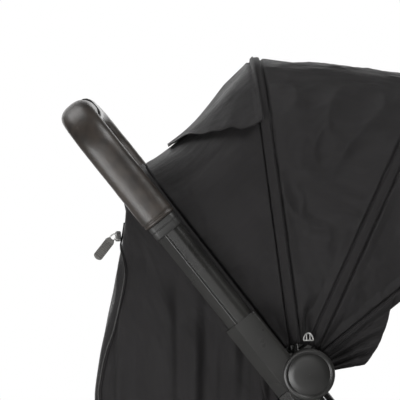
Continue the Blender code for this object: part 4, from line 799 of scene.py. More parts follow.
class Patterns:
    """The shared shader groups, each built the first time it is asked for."""

    kept: dict[str, bpy.types.NodeTree] = {}

    @classmethod
    def place(cls, bench: Bench, name: str, **inputs: object) -> bpy.types.Node:
        """Puts a shared group in a material.

        Args:
            bench: The material's bench.
            name: The group's name.
            inputs: What its inputs are fed or set to.

        Returns:
            The group node.
        """
        if name not in cls.kept:
            makers = {"Grain": cls.grain, "Weave": cls.weave, "Hide": cls.hide, "Wear": cls.wear, "Stitch": cls.stitch}
            cls.kept[name] = makers[name]()
        return bench.node("ShaderNodeGroup", inputs, node_tree=cls.kept[name])

    @staticmethod
    def start(
        name: str, numbers: dict[str, float], results: Iterable[str]
    ) -> tuple[Bench, bpy.types.NodeOutputs, bpy.types.NodeInputs]:
        """Opens a new group with a Vector input.

        Args:
            name: The group's name.
            numbers: Its number inputs with their defaults.
            results: Its outputs.

        Returns:
            The bench, the group's inputs as sockets to read, and its outputs as sockets to feed.
        """
        tree = bpy.data.node_groups.new(name, "ShaderNodeTree")
        tree.interface.new_socket(name="Vector", in_out="INPUT", socket_type="NodeSocketVector")
        for label, value in numbers.items():
            tree.interface.new_socket(name=label, in_out="INPUT", socket_type="NodeSocketFloat").default_value = value
        for label in results:
            tree.interface.new_socket(name=label, in_out="OUTPUT", socket_type="NodeSocketFloat")
        bench = Bench(tree)
        return bench, bench.node("NodeGroupInput", {}).outputs, bench.node("NodeGroupOutput", {}).inputs

    @staticmethod
    def grain() -> bpy.types.NodeTree:
        """A moulded or powder coated surface: fine grain, and broad patches for its gloss."""
        bench, read, give = Patterns.start("Grain", {"Scale": 900.0}, ("Height", "Patches"))
        fine = bench.speckle(read["Vector"], read["Scale"])
        coarse = bench.speckle(read["Vector"], bench.sum("MULTIPLY", read["Scale"], 0.3))
        bench.feed(give["Height"], bench.sum("MULTIPLY_ADD", fine, 0.6, bench.sum("MULTIPLY", coarse, 0.4)))
        patches = bench.speckle(read["Vector"], bench.sum("MULTIPLY", read["Scale"], 0.012), 5.0)
        bench.feed(give["Patches"], bench.span(patches, 0.35, 0.65))
        return bench.tree

    @staticmethod
    def weave() -> bpy.types.NodeTree:
        """A plain weave: warp over weft in turn, with thick and thin threads."""
        bench, read, give = Patterns.start("Weave", {"Threads": 1500.0}, ("Height", "Slub"))
        axes = bench.node("ShaderNodeSeparateXYZ", {0: read["Vector"]}).outputs
        pitch = bench.sum("MULTIPLY", read["Threads"], math.pi)
        warp = bench.sum("SINE", bench.sum("MULTIPLY", axes[0], pitch))
        weft = bench.sum("SINE", bench.sum("MULTIPLY", axes[1], pitch))
        over = bench.sum("GREATER_THAN", bench.sum("MULTIPLY", warp, weft), 0.0)
        up = bench.sum("MULTIPLY", bench.sum("ABSOLUTE", warp), over)
        across = bench.sum("MULTIPLY", bench.sum("ABSOLUTE", weft), bench.sum("SUBTRACT", 1.0, over))
        bench.feed(give["Height"], bench.sum("ADD", up, across))
        streaks = bench.node("ShaderNodeMapping", {"Vector": read["Vector"], "Scale": (1.0, 0.08, 1.0)}).outputs[0]
        slub = bench.speckle(streaks, bench.sum("MULTIPLY", read["Threads"], 0.2), 4.0)
        bench.feed(give["Slub"], bench.span(slub, 0.3, 0.7))
        return bench.tree

    @staticmethod
    def hide() -> bpy.types.NodeTree:
        """Leather grain: rounded cells with creases between them."""
        bench, read, give = Patterns.start("Hide", {"Scale": 620.0}, ("Height", "Crease"))
        drift = bench.node("ShaderNodeTexNoise", {"Vector": read["Vector"], "Scale": 260.0, "Detail": 2.0}).outputs[1]
        shift = bench.node("ShaderNodeVectorMath", {0: drift, "Scale": 0.0012}, operation="SCALE").outputs[0]
        moved = bench.node("ShaderNodeVectorMath", {0: read["Vector"], 1: shift}, operation="ADD").outputs[0]
        inputs = {"Vector": moved, "Scale": read["Scale"]}
        edge = bench.node("ShaderNodeTexVoronoi", inputs, feature="DISTANCE_TO_EDGE").outputs["Distance"]
        cell = bench.span(edge, 0.0, 0.22)
        fine = bench.speckle(read["Vector"], bench.sum("MULTIPLY", read["Scale"], 4.0))
        bench.feed(give["Height"], bench.sum("MULTIPLY_ADD", fine, 0.25, cell))
        bench.feed(give["Crease"], bench.sum("SUBTRACT", 1.0, cell))
        return bench.tree

    @staticmethod
    def wear() -> bpy.types.NodeTree:
        """Rubbed edges, broken up by scuffs."""
        bench, read, give = Patterns.start("Wear", {"Amount": 0.5}, ("Mask",))
        point = bench.node("ShaderNodeNewGeometry", {}).outputs["Pointiness"]
        edge = bench.span(point, 0.52, 0.62)
        scuff = bench.span(bench.speckle(read["Vector"], 140.0, 6.0), 0.42, 0.66)
        mask = bench.sum("MULTIPLY", edge, scuff)
        bench.feed(give["Mask"], bench.sum("MULTIPLY", mask, read["Amount"]))
        return bench.tree

    @staticmethod
    def stitch() -> bpy.types.NodeTree:
        """A row of stitches along x at one distance across."""
        bench, read, give = Patterns.start("Stitch", {"Across": 0.002, "Pitch": 0.0034}, ("Mask", "Dent"))
        axes = bench.node("ShaderNodeSeparateXYZ", {0: read["Vector"]}).outputs
        turn = bench.sum("DIVIDE", axes[0], bench.sum("DIVIDE", read["Pitch"], 2 * math.pi))
        dash = bench.span(bench.sum("SINE", turn), -0.45, 0.0)
        off = bench.sum("ABSOLUTE", bench.sum("SUBTRACT", axes[1], read["Across"]))
        bench.feed(give["Mask"], bench.sum("MULTIPLY", dash, bench.span(off, 0.00025, 0.00055, 1.0, 0.0)))
        bench.feed(give["Dent"], bench.span(off, 0.0003, 0.0014, 1.0, 0.0))
        return bench.tree


@dataclass(frozen=True)
class Finish:
    """A surface finish: its tone, gloss and the detail that a subclass adds."""

    name: str
    slot: str
    tone: Tone
    light: Tone
    roughness: float
    bump: float = 0.2
    metallic: float = 0.0
    sheen: float = 0.0
    coat: float = 0.0
    shine: float = 0.5
    scale: float = 900.0
    worn: float = 0.0
    reads: Reads = Reads.PLACE
    seams: tuple[float, ...] = ()

    def material(self) -> bpy.types.Material:
        """The finish as a material, made the first time it is asked for."""
        found = bpy.data.materials.get(self.name)
        if found:
            return found
        made = bpy.data.materials.new(self.name)
        made.use_nodes = True
        made.node_tree.nodes.clear()
        bench = Bench(made.node_tree)
        values = {
            "Base Color": (*self.tone, 1.0), "Roughness": self.roughness, "Metallic": self.metallic,
            "Sheen Weight": self.sheen, "Sheen Roughness": 0.45, "Coat Weight": self.coat, "Coat Roughness": 0.28,
            "Specular IOR Level": self.shine,
        }
        shader = bench.node("ShaderNodeBsdfPrincipled", values)
        place = bench.node("ShaderNodeTexCoord", {}).outputs[self.reads.value]
        height = self.detail(bench, shader, place)
        bump = bench.node("ShaderNodeBump", {"Strength": self.bump, "Distance": 0.001, "Height": height})
        bench.feed(shader.inputs["Normal"], bump.outputs[0])
        bench.node("ShaderNodeOutputMaterial", {"Surface": shader.outputs[0]})
        return made

    def detail(self, bench: Bench, shader: bpy.types.Node, place: Socket) -> Socket:
        """Adds grain, patches of gloss and worn edges.

        Args:
            bench: The material's bench.
            shader: The Principled BSDF.
            place: The pattern's coordinates.

        Returns:
            The surface's height.
        """
        grain = Patterns.place(bench, "Grain", Vector=place, Scale=self.scale)
        wear = Patterns.place(bench, "Wear", Vector=place, Amount=self.worn)
        patches = bench.sum("MULTIPLY", grain.outputs["Patches"], 0.22)
        mask = bench.sum("MAXIMUM", wear.outputs["Mask"], patches)
        bench.feed(shader.inputs["Base Color"], bench.tint(mask, self.tone, self.light))
        gloss = bench.span(grain.outputs["Patches"], 0.0, 1.0, self.roughness - 0.05, self.roughness + 0.07)
        bench.feed(shader.inputs["Roughness"], gloss)
        return grain.outputs["Height"]

    def dress(self, piece: Piece) -> Piece:
        """Gives a piece this finish and its slot."""
        piece.data.materials.clear()
        piece.data.materials.append(self.material())
        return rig.slot(piece, self.slot)

    def settle(self, piece: Piece, node: str, body: str) -> Piece:
        """Dresses a piece, puts it in place of its node and lets it ride on its body."""
        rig.replaces(self.dress(piece), node)
        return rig.ride(piece, body)


@dataclass(frozen=True)
class Hide(Finish):
    """Leatherette: pressed grain, with a sewn seam along the uv map."""

    def detail(self, bench: Bench, shader: bpy.types.Node, place: Socket) -> Socket:
        """Adds leather cells, a stitched seam and uneven gloss, as the parent's method says."""
        hide = Patterns.place(bench, "Hide", Vector=place, Scale=self.scale)
        patches = bench.span(bench.speckle(place, 55.0, 5.0), 0.35, 0.65)
        bench.feed(shader.inputs["Base Color"], bench.tint(patches, self.tone, self.light))
        rough = bench.sum("MULTIPLY_ADD", hide.outputs["Crease"], 0.10, self.roughness)
        bench.feed(shader.inputs["Roughness"], bench.sum("MULTIPLY_ADD", patches, 0.05, rough))
        height = hide.outputs["Height"]
        flat = bench.node("ShaderNodeTexCoord", {}).outputs["UV"]
        for across in self.seams:
            seam = Patterns.place(bench, "Stitch", Vector=flat, Across=across, Pitch=0.005)
            raised = bench.sum("MULTIPLY_ADD", seam.outputs["Mask"], 3.0, height)
            height = bench.sum("MULTIPLY_ADD", seam.outputs["Dent"], -1.6, raised)
        return height


@dataclass(frozen=True)
class Woven(Finish):
    """Cloth or webbing: a plain weave, faded patches and any rows of stitches."""

    turn: float = 0.0
    crumple: float = 8.0

    def detail(self, bench: Bench, shader: bpy.types.Node, place: Socket) -> Socket:
        """Adds the weave, painted shade in its gaps and the stitches, as the parent's method says."""
        turned = bench.node("ShaderNodeMapping", {"Vector": place, "Rotation": (0.0, self.turn, 0.0)}).outputs[0]
        weave = Patterns.place(bench, "Weave", Vector=turned, Threads=self.scale)
        fade = bench.span(bench.speckle(place, 14.0, 6.0), 0.38, 0.64)
        # Painted shade: the weave's gaps are tinted darker and its crossing threads lighter.
        weave_gap_shade = bench.sum("MULTIPLY", weave.outputs["Height"], 0.55)
        mask = bench.sum("MULTIPLY_ADD", weave.outputs["Slub"], 0.2, bench.sum("MULTIPLY_ADD", fade, 0.25, weave_gap_shade))
        height = bench.sum("MULTIPLY_ADD", weave.outputs["Slub"], 0.35, weave.outputs["Height"])
        drawn = bench.node("ShaderNodeMapping", {"Vector": place, "Scale": (1.0, 0.55, 1.0)}).outputs[0]
        height = bench.sum("MULTIPLY_ADD", bench.speckle(drawn, 30.0, 2.0), 4 * self.crumple, height)
        for across in self.seams:
            seam = Patterns.place(bench, "Stitch", Vector=place, Across=across)
            mask = bench.sum("MAXIMUM", mask, bench.sum("MULTIPLY", seam.outputs["Mask"], 1.6))
            raised = bench.sum("MULTIPLY_ADD", seam.outputs["Mask"], 2.0, height)
            height = bench.sum("MULTIPLY_ADD", seam.outputs["Dent"], -1.2, raised)
        bench.feed(shader.inputs["Base Color"], bench.tint(mask, self.tone, self.light))
        bench.feed(shader.inputs["Roughness"], bench.span(fade, 0.0, 1.0, self.roughness - 0.06, self.roughness))
        return height


@dataclass(frozen=True)
class Brushed(Finish):
    """Metal with fine brushing along the piece's height."""

    def detail(self, bench: Bench, shader: bpy.types.Node, place: Socket) -> Socket:
        """Adds drawn-out scratches and dull spots, as the parent's method says."""
        drawn = bench.node("ShaderNodeMapping", {"Vector": place, "Scale": (1.0, 1.0, 0.05)}).outputs[0]
        lines = bench.speckle(drawn, self.scale, 4.0)
        dull = bench.span(bench.speckle(place, 160.0, 5.0), 0.4, 0.7)
        bench.feed(shader.inputs["Base Color"], bench.tint(dull, self.light, self.tone))
        gloss = bench.sum("MULTIPLY_ADD", dull, 0.18, bench.sum("MULTIPLY_ADD", lines, 0.12, self.roughness))
        bench.feed(shader.inputs["Roughness"], gloss)
        return lines


class Finishes:
    """Every finish on the stroller."""

    TUBE = Finish(
        "powder_coated_tube", "frame", (0.0085, 0.0083, 0.0075), (0.034, 0.033, 0.030), 0.27, 0.08, coat=0.10,
        scale=1100.0, worn=0.6,
    )
    MOULDED = Finish(
        "moulded_black", "plastic", (0.017, 0.0168, 0.016), (0.048, 0.047, 0.045), 0.46, 0.14, scale=1500.0, worn=0.5
    )
    GLOSSY = Finish(
        "satin_moulding", "plastic", (0.012, 0.0118, 0.011), (0.036, 0.035, 0.033), 0.34, 0.08, scale=1300.0, worn=0.4
    )
    HIDE = Hide(
        "grip_leatherette", "leatherette", (0.0135, 0.0104, 0.0083), (0.033, 0.0250, 0.0193), 0.37, 0.12, coat=0.25,
        scale=620.0, seams=(0.0295,),
    )
    CLOTH = Woven(
        "canopy_cloth", "cloth", (0.0045, 0.0040, 0.0042), (0.0150, 0.0135, 0.0142), 0.55, 0.35, sheen=0.05, shine=0.26,
        scale=1300.0, reads=Reads.CLOTH,
    )
    BOUND = Woven(
        "bound_edge", "cloth", (0.0045, 0.0040, 0.0042), (0.0160, 0.0144, 0.0151), 0.62, 0.4, sheen=0.05, shine=0.24,
        scale=1100.0, crumple=0.0, reads=Reads.CLOTH, seams=(0.0014, 0.0096),
    )
    PAD = Woven(
        "pad_cloth", "pad", (0.010, 0.010, 0.0105), (0.030, 0.030, 0.031), 0.88, 0.4, sheen=0.18, scale=1050.0,
        turn=-math.pi / 4,
    )
    WEBBING = Woven(
        "webbing", "webbing", (0.008, 0.008, 0.0085), (0.036, 0.036, 0.037), 0.72, 0.7, sheen=0.08, scale=620.0,
        crumple=0.0, reads=Reads.CLOTH, seams=(0.0022, 0.0228),
    )
    MESHED = Woven(
        "basket_cloth", "cloth", (0.009, 0.009, 0.0095), (0.034, 0.034, 0.035), 0.84, 0.8, sheen=0.06, scale=560.0,
        reads=Reads.CLOTH,
    )
    STEEL = Brushed("brushed_steel", "steel", (0.34, 0.34, 0.33), (0.56, 0.56, 0.55), 0.30, 0.05, 1.0, scale=1800.0)
    TYRE = Finish("tyre_rubber", "tyre", (0.016, 0.016, 0.016), (0.060, 0.058, 0.054), 0.78, 0.3, scale=800.0, worn=0.5)
    RUBBER = Finish(
        "soft_grey_rubber", "soft_grey", (0.098, 0.094, 0.088), (0.150, 0.144, 0.136), 0.62, 0.2, scale=1000.0, worn=0.3
    )


@dataclass
class Handle:
    """The bent D tube with its two leatherette grips and their collars."""

    stance: Stance
    width: float = 0.034
    depth: float = 0.020
    reach: float = 0.418
    bend: float = 0.055
    socket: float = 0.046
    grip_start: float = 0.256
    grip_width: float = 0.0426
    grip_depth: float = 0.0322
    grip_sides: int = 40
    housing_half: float = 0.0453
    collar_length: float = 0.018
    collar_width: float = 0.037
    collar_depth: float = 0.025

    def path(self, start: float, stop: float = 0.0) -> list[Vector]:
        """The near half of the handle's middle line, over the bend to a distance short of centre."""
        half = self.stance.rail_half_span
        corners = [(-half, start, 0), (-half, self.reach, self.bend), (-stop, self.reach, 0)]
        return Line.rounded(corners, 18, closed=False)

    def stations(self, points: Sequence[Vector], scales: Sequence[float] = ()) -> list[Matrix]:
        """Section placements along a path in the rail plane.

        Args:
            points: The path's points.
            scales: The section's size at each point, 1 when left out.

        Returns:
            One placement for each point, X to the right of travel and Y to the rails' front.
        """
        plane = self.stance.rail_plane
        placed: list[Matrix] = []
        for index, point in enumerate(points):
            before, after = points[max(index - 1, 0)], points[min(index + 1, len(points) - 1)]
            ahead = (after - before).normalized()
            right = Vector((ahead.y, -ahead.x, 0))
            turn = Stance.axes(Vector((point.x, point.y, 0)), right, Vector((0, 0, 1)), Vector((-ahead.x, -ahead.y, 0)))
            size = scales[index] if scales else 1.0
            placed.append(plane @ turn @ Matrix.Diagonal((size, size, 1.0, 1.0)))
        return placed

    def section(self) -> list[Vector]:
        """The tube's D section: a flat outer face, a groove and a ridge, and the facet behind them."""
        half, deep = self.width / 2, self.depth / 2
        corners = [
            (-deep, -0.0036, 0.0004),
            (-deep + 0.0018, -0.0047, 0.0003),
            (-deep, -0.0056, 0.0012),
            (-deep + 0.0110, -half, 0.0016),
            (deep, -half, 0.005),
            (deep, half, 0.0065),
            (-deep, half, 0.0125),
        ]
        return Line.rounded(corners, 6)

    def build_tube(self) -> Piece:
        """The tube, bent in one piece from hub to hub."""
        near = self.path(self.socket)
        whole = near[:-1] + [Vector((-point.x, point.y)) for point in reversed(near[:-1])]
        tube = Mesher.sweep("handle_tube_formed", self.section(), self.stations(whole), sharp=28.0)
        return Finishes.TUBE.settle(tube, "handle_tube", "handle")

    def egg(self) -> list[Vector]:
        """The grip's section, a little squarer than an ellipse."""
        points: list[Vector] = []
        for angle in Mesher.angles(self.grip_sides):
            x, y = math.cos(angle), math.sin(angle)
            wide = math.copysign(abs(x) ** 0.85, x) * self.grip_depth / 2
            points.append(Vector((wide, math.copysign(abs(y) ** 0.85, y) * self.grip_width / 2)))
        return points

    def swell(self, distance: float) -> float:
        """The grip's size near its rolled end, by the distance from that end."""
        if distance < 0.0042:
            return 0.945 + 0.062 * math.sin(math.pi * min(distance / 0.0042, 1.0)) ** 0.6
        return 1.0 - 0.045 * math.exp(-((distance - 0.0048) / 0.0011) ** 2)

    def build_grip(self, side: Side) -> Piece:
        """A sewn grip from its collar round the bend to the release housing.

        Args:
            side: Which grip to build.

        Returns:
            The dressed grip.
        """
        line = self.path(self.grip_start, self.housing_half)
        total = Line.length(line)
        fine = [0.0003, 0.0009, 0.0017, 0.0026, 0.0034, 0.0040, 0.0045, 0.0052, 0.0060, 0.0072, 0.0090]
        middle = [0.009 + (total - 0.018) * index / 110 for index in range(1, 110)]
        distances = [0.0] + fine + middle + [total - distance for distance in reversed(fine)] + [total]
        points = [self.along(line, distance) for distance in distances]
        scales = [self.swell(min(distance, total - distance)) for distance in distances]
        if side is Side.FAR:
            points = [Vector((-point.x, point.y)) for point in reversed(points)]
            scales = scales[::-1]
        grip = Mesher.sweep(f"grip_{side.label}_sewn", self.egg(), self.stations(points, scales), sharp=60.0)
        rumple = 0.0004
        Mesher.ruffled(grip, lambda at, _: rumple * noise.noise(at * 38.0) + rumple * 0.4 * noise.noise(at * 120.0))
        return Finishes.HIDE.settle(grip, f"grip_{side.label}", "handle")

    @staticmethod
    def along(line: Sequence[Vector], distance: float) -> Vector:
        """The point of a path at a distance from its start."""
        left = distance
        for before, after in zip(line, line[1:]):
            step = (after - before).length
            if left <= step or after is line[-1]:
                return before.lerp(after, left / step)
            left -= step
        return line[-1]

    def build_collar(self, side: Side) -> Piece:
        """The ribbed ring under a grip.

        Args:
            side: Which collar to build.

        Returns:
            The dressed collar.
        """
        top = self.grip_start - 0.0003
        base = top - self.collar_length
        shape = ((0.0, 0.93), (0.0006, 0.975), (0.0016, 1.0), (0.0088, 1.0), (0.0094, 0.968), (0.0102, 0.968))
        shape += ((0.0108, 1.0), (0.0160, 1.0), (0.0172, 0.985), (0.0180, 0.94))
        half = side.value * self.stance.rail_half_span
        points = [Vector((half, base + distance)) for distance, _ in shape]
        scales = [scale for _, scale in shape]
        section = Line.box(self.collar_depth / 2, self.collar_width / 2, 0.0075, 6)
        name = f"grip_collar_{side.label}"
        collar = Mesher.sweep(f"{name}_ribbed", section, self.stations(points, scales), sharp=30.0)
        return Finishes.MOULDED.settle(collar, name, "handle")

    def build(self) -> list[Piece]:
        """Builds the tube, the grips and the collars."""
        pieces = [self.build_tube()]
        for side in Side:
            pieces += [self.build_grip(side), self.build_collar(side)]
        return pieces


@dataclass
class FoldHub:
    """The round covers on the fold hubs."""

    stance: Stance
    back: float = 0.2138
    radius: float = 0.031
    ring: float = 0.0262
    depth: float = 0.008

    def build(self) -> list[Piece]:
        """Spins a dished cover with a raised rim and a domed middle for each hub."""
        rim, ring, deep = self.radius, self.ring, self.depth
        profile = [
            (0.0002, 0.0), (rim - 0.0004, 0.0), (rim, 0.0005), (rim, deep - 0.0022), (rim - 0.0007, deep - 0.0007),
            (rim - 0.0020, deep), (ring + 0.0012, deep), (ring + 0.0002, deep - 0.0006), (ring - 0.0002, deep - 0.0019),
            (ring - 0.0010, deep - 0.0023), (ring - 0.0022, deep - 0.0019), (ring - 0.0034, deep - 0.0013),
            (0.0170, deep - 0.0007), (0.0085, deep - 0.0003), (0.0002, deep - 0.0002),
        ]
        pieces: list[Piece] = []
        for side in Side:
            centre = self.stance.at(0, side.value * self.back, 0)
            cap = Mesher.spin(f"hub_cap_{side.label}_dished", profile, centre, side.value, 96, 30.0)
            pieces.append(Finishes.GLOSSY.settle(cap, f"hub_cap_{side.label}", "handle"))
        return pieces


@dataclass
class Canopy:
    """The canopy's cloth: three panels on bows, the rear flap and the sewn bow pockets."""

    stance: Stance
    pivot_x: float = -0.010
    pivot_z: float = -0.006
    half_width: float = 0.1795
    layer: float = 0.0053
    lift: float = 0.0063
    rear: float = math.radians(97.7)
    middle: float = math.radians(65.6)
    front: float = math.radians(39.0) - 0.012
    nape: float = math.radians(128.0)
    rear_reach: float = 0.3895
    middle_reach: float = 0.398
    front_reach: float = 0.375
    nape_reach: float = 0.316
    shoulder_in: float = 0.0165
    shoulder_drop: float = 0.012
    shoulder_bend: float = 0.110
    crown_rise: float = 0.008
    crown_bend: float = 0.30
    foot: float = 0.040
    steps: int = 480
    flap_share: float = 0.305
    slider_at: tuple[float, float, float] = (-0.0540, -0.1852, 0.7036)
    seam_inset: float = 0.0068
    seam_width: float = 0.0014
    seam_depth: float = 0.0032
    pucker_depth: float = 0.0008
    columns: int = 192

    def at(self, angle: float, across: float, reach: float) -> Vector:
        """A point of the plane that leans at an angle from the canopy's pivot."""
        return self.stance.at(self.pivot_x + reach * math.cos(angle), across, self.pivot_z + reach * math.sin(angle))

    def arch(self, index: int, reach: float, low_share: float = 0.0, grow: float = 0.0) -> list[Vector]:
        """The cloth's outer line over a bow, as (across, reach) points.

        Args:
            index: Which layer of the bows the arch belongs to.
            reach: The bow cloth's reach from the pivot.
            low_share: Where the arch starts, as a share of its length.
            grow: How far outside the cloth's line it runs.

        Returns:
            Evenly spread points.
        """
        half = self.half_width - index * self.layer + self.lift + grow
        tall = reach + grow
        top, shoulder, bend = half - self.shoulder_in, tall - self.shoulder_drop, self.shoulder_bend
        crown = (0, tall + self.crown_rise, self.crown_bend)
        corners = [(-half, 0, 0), (-top, shoulder, bend), crown, (top, shoulder, bend), (half, 0, 0)]
        points = Line.spread(Line.rounded(corners, 14, closed=False), self.steps + 1)
        foot = next(number for number, point in enumerate(points) if point.y >= self.foot)
        skip = int(self.steps * low_share) if low_share else foot
        return Line.spread(points[skip:len(points) - skip], self.columns + 1)

    def lofted(
        self, first: tuple[float, list[Vector]], second: tuple[float, list[Vector]], bulge: float, crease: float
    ) -> Place:
        """A cloth between two arches.

        Args:
            first: The angle and line of the arch at v = 0.
            second: The angle and line of the arch at v = 1.
            bulge: How far the cloth's middle stands out, or if negative, how far its lower half sags in.
            crease: The depth of its folds.

        Returns:
            The placing function.
        """
        lean = (first[0] + second[0]) / 2
        out = Vector((math.cos(lean), 0, math.sin(lean)))

        def place(u: float, v: float) -> Vector:
            spot = u * self.columns
            index = min(int(spot), self.columns - 1)
            a = first[1][index].lerp(first[1][index + 1], spot - index)
            b = second[1][index].lerp(second[1][index + 1], spot - index)
            low, high = self.at(first[0], a.x, a.y), self.at(second[0], b.x, b.y)
            wide = (high - low).length
            v = (1 - math.cos(math.pi * v)) / 2
            share = 0.0008 / wide + v * (1 - 0.0016 / wide)
            slack = 4 * v * (1 - v)
            stand = bulge * (slack if bulge > 0 else math.sin(math.pi * min(1.0, v / 0.75)))
            point = low.lerp(high, share) + out * ((a.y / self.rear_reach) ** 2 * stand)
            side = math.copysign(min(abs(2 * u - 1) * 1.6, 1.0) ** 2, u - 0.5)
            outward = Vector((out.x * (1 - abs(side)), side, out.z * (1 - abs(side)))).normalized()
            near = min(v, 1 - v) * wide
            groove = math.exp(-((near - self.seam_inset) / self.seam_width) ** 2)
            pucker = noise.noise(Vector((u * 120.0, v * 9.0, 0.7))) * math.exp(-near / 0.012)
            seam = self.pucker_depth * pucker - self.seam_depth * groove
            room = min(1.0, near / 0.02)
            return point + outward * (self.fold(point, u, v, crease * slack ** 0.5) * room + seam)

        return place

    @staticmethod
    def fold(point: Vector, u: float, v: float, depth: float) -> float:
        """The height of the slack cloth's folds at a point.

        Args:
            point: The point before it is moved.
            u: The share along the arches.
            v: The share from arch to arch.
            depth: The folds' depth there.

        Returns:
            How far the cloth stands in or out.
        """
        warp = point + Vector((noise.noise(point * 7.0), 0, noise.noise(point * 7.0 + Vector((9.0, 0, 0))))) * 0.045
        broad = noise.noise(Vector((u * 9.0, v * 1.3 + 2.0 * noise.noise(point * 6.0), point.y * 9.0)))
        ridge = 1 - min(1.0, abs(noise.noise(warp * 15.0)) * 3.2)
        small = 1 - min(1.0, abs(noise.noise(warp * 34.0 + Vector((0, 4.0, 0)))) * 3.0)
        fine = noise.noise(Vector((u * 60.0, v * 3.4, 3.1 + point.y * 16.0)))
        patch = min(1.0, max(0.0, 0.55 + 1.6 * noise.noise(point * 4.0 + Vector((3.0, 0, 1.0)))))
        return depth * (0.7 * broad + (0.50 * ridge ** 2 + 0.20 * small ** 2) * patch + 0.10 * fine - 0.45)

    def seat(self, name: str, place: Place, rows: int, thickness: float, node: str) -> Piece:
        """Lays a cloth, dresses it and puts it in place of its node."""
        cloth = Finishes.CLOTH.dress(Mesher.cloth(name, (self.columns, rows), place, thickness))
        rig.replaces(cloth, node)
        return cloth

    def crossing(self, first: float, second: float) -> tuple[Vector, Vector]:
        """Where a panel starts and ends its bend between two arches.

        Args:
            first: The angle of the arch that stays with the first body.
            second: The angle of the arch that goes with the second one.

        Returns:
            The start and end points for the blend.
        """
        lean = (first + second) / 2
        half = 0.25 * math.sin(abs(first - second) / 2)
        across = Vector((-math.sin(lean), 0, math.cos(lean))) * math.copysign(half, second - first)
        centre = self.at(lean, 0, 0.0)
        return centre - across, centre + across

    def build_panels(self, trims: Sequence[Piece]) -> list[Piece]:
        """The rear, middle and front panels; the middle and front ones bend between the two bodies that hold them, and
        the rear one rides on the chassis.

        Args:
            trims: The pockets and bindings (rear, middle, front and nape), then the two gussets.

        Returns:
            The three panels.
        """
        nape = (self.nape, self.arch(0, self.nape_reach))
        rear = (self.rear, self.arch(0, self.rear_reach))
        middle = (self.middle, self.arch(1, self.middle_reach))
        front = (self.front, self.arch(2, self.front_reach))
        pieces: list[Piece] = []
        for label, first, second, bulge, crease, bodies, sewn in (
            ("rear", nape, rear, -0.013, 0.0030, None, [trims[3]]),
            ("middle", rear, middle, 0.010, 0.0130, ("chassis", "canopy_middle"), [trims[0], trims[1]]),
            ("front", middle, front, 0.009, 0.0080, ("canopy_middle", "canopy_front"), [trims[2], *trims[4:]]),
        ):
            place = self.lofted(first, second, bulge, crease)
            panel = self.seat(f"canopy_{label}_cloth", place, 84, 0.0012, f"canopy_{label}_panel")
            if label == "middle":
                Mesher.ruffled(panel, self.pinch)
            if bodies:
                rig.blend(panel, *bodies, *self.crossing(first[0], second[0]))
            else:
                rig.ride(panel, "chassis")
            bow = f"canopy_bow_{label}"
            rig.sheet(panel, self.cut(panel, first, second), held="stretched", rests_on=[bow], with_pieces=sewn)
            pieces.append(panel)
        return pieces

    def cut(
        self, panel: Piece, first: tuple[float, list[Vector]], second: tuple[float, list[Vector]]
    ) -> tuple[float, float]:
        """The panel's flat width and length, from its arches and its own area."""
        long = max(Line.length(first[1]), Line.length(second[1]))
        return (Mesher.one_side(panel) / long, long)

    def build_flap(self) -> Piece:
        """The loose flap that hangs over the rear panel, with its wavy hem."""
        low = (self.nape, self.arch(0, self.nape_reach, self.flap_share, 0.0050))
        high = (self.rear + 0.004, self.arch(0, self.rear_reach, self.flap_share, 0.0030))
        lofted = self.lofted(low, high, -0.011, 0.0070)

        def place(u: float, v: float) -> Vector:
            edge = max(abs(2 * u - 1) - 0.75, 0) * 4
            hang = math.copysign(edge ** 2 * (0.006 + 0.002 * math.sin(v * 9.0)) * min(1.0, v * 4), u - 0.5)
            wave = edge * 0.0020 * math.sin(v * 13.0) + edge * 0.0011 * math.sin(v * 31.0 + 1.0)
            share = 0.235 + 0.765 * v
            gather = 0.36 * (1 - v) ** 2
            ahead = math.acos(1 - 2 * share) / math.pi
            return lofted(gather + u * (1 - 2 * gather), ahead) + Vector((0, hang, wave * min(1.0, (1 - v) * 3.0)))

        flap = self.seat("canopy_flap_cloth", place, 44, 0.0011, "canopy_flap")
        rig.sheet(flap, flat=self.cut(flap, low, high), held="hung", rests_on=["canopy_rear_panel"])
        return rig.ride(flap, "chassis")

    @staticmethod
    def pinch(at: Vector, normal: Vector) -> float:
        """The crease that runs up the middle panel from its slider, as a move along the normal."""
        depth = 0.0050 * math.exp(-((at.x + 0.0545) / 0.0035) ** 2) * math.exp(-((at.z - 0.725) / 0.014) ** 4)
        return -math.copysign(depth, normal.y * at.y)

    def build_gusset(self, side: Side) -> Piece:
        """The pleated corner of cloth that carries on from the front bow beside a hub.

        Args:
            side: Which corner to build.

        Returns:
            The dressed cloth.
        """
        half = self.half_width - 2 * self.layer + self.lift - 0.0026

        def place(u: float, v: float) -> Vector:
            reach = 0.034 + v * (0.116 - 0.070 * u ** 0.8)
            pleat = 0.0024 * math.cos(2 * math.pi * 3.4 * u + 0.5 * math.sin(3 * v)) * min(1.0, v * 4)
            soft = 0.0016 * noise.noise(Vector((u * 4.0, v * 7.0, 5.1)))
            return self.at(self.front + 0.03 - 0.52 * u, side.value * (half + pleat + soft), reach)

        cloth = Mesher.cloth(f"canopy_gusset_{side.label}", (60, 30), place, 0.0012, 0.0)
        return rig.ride(Finishes.CLOTH.dress(cloth), "canopy_front")

    def build_slider(self) -> Piece:
        """The half-round slider beside the near hub: a rim with bars across its opening."""
        base = Vector(self.slider_at)
        turns = [math.pi * index / 20 for index in range(21)]
        rim = [base + Vector((0.0058 * math.cos(turn), 0, 0.0088 * math.sin(turn))) for turn in turns]
        pieces = [Mesher.tube("canopy_slider_rim", [*rim, rim[0]], 0.0010, 10)]
        for x in (-0.0021, 0.0021):
            bar = [base + Vector((x, 0, z)) for z in (0.0, 0.0078)]
            pieces.append(Mesher.tube("canopy_slider_bar", bar, 0.0008, 8))
        return Finishes.STEEL.settle(Mesher.merged(pieces), "canopy_slider", "chassis")

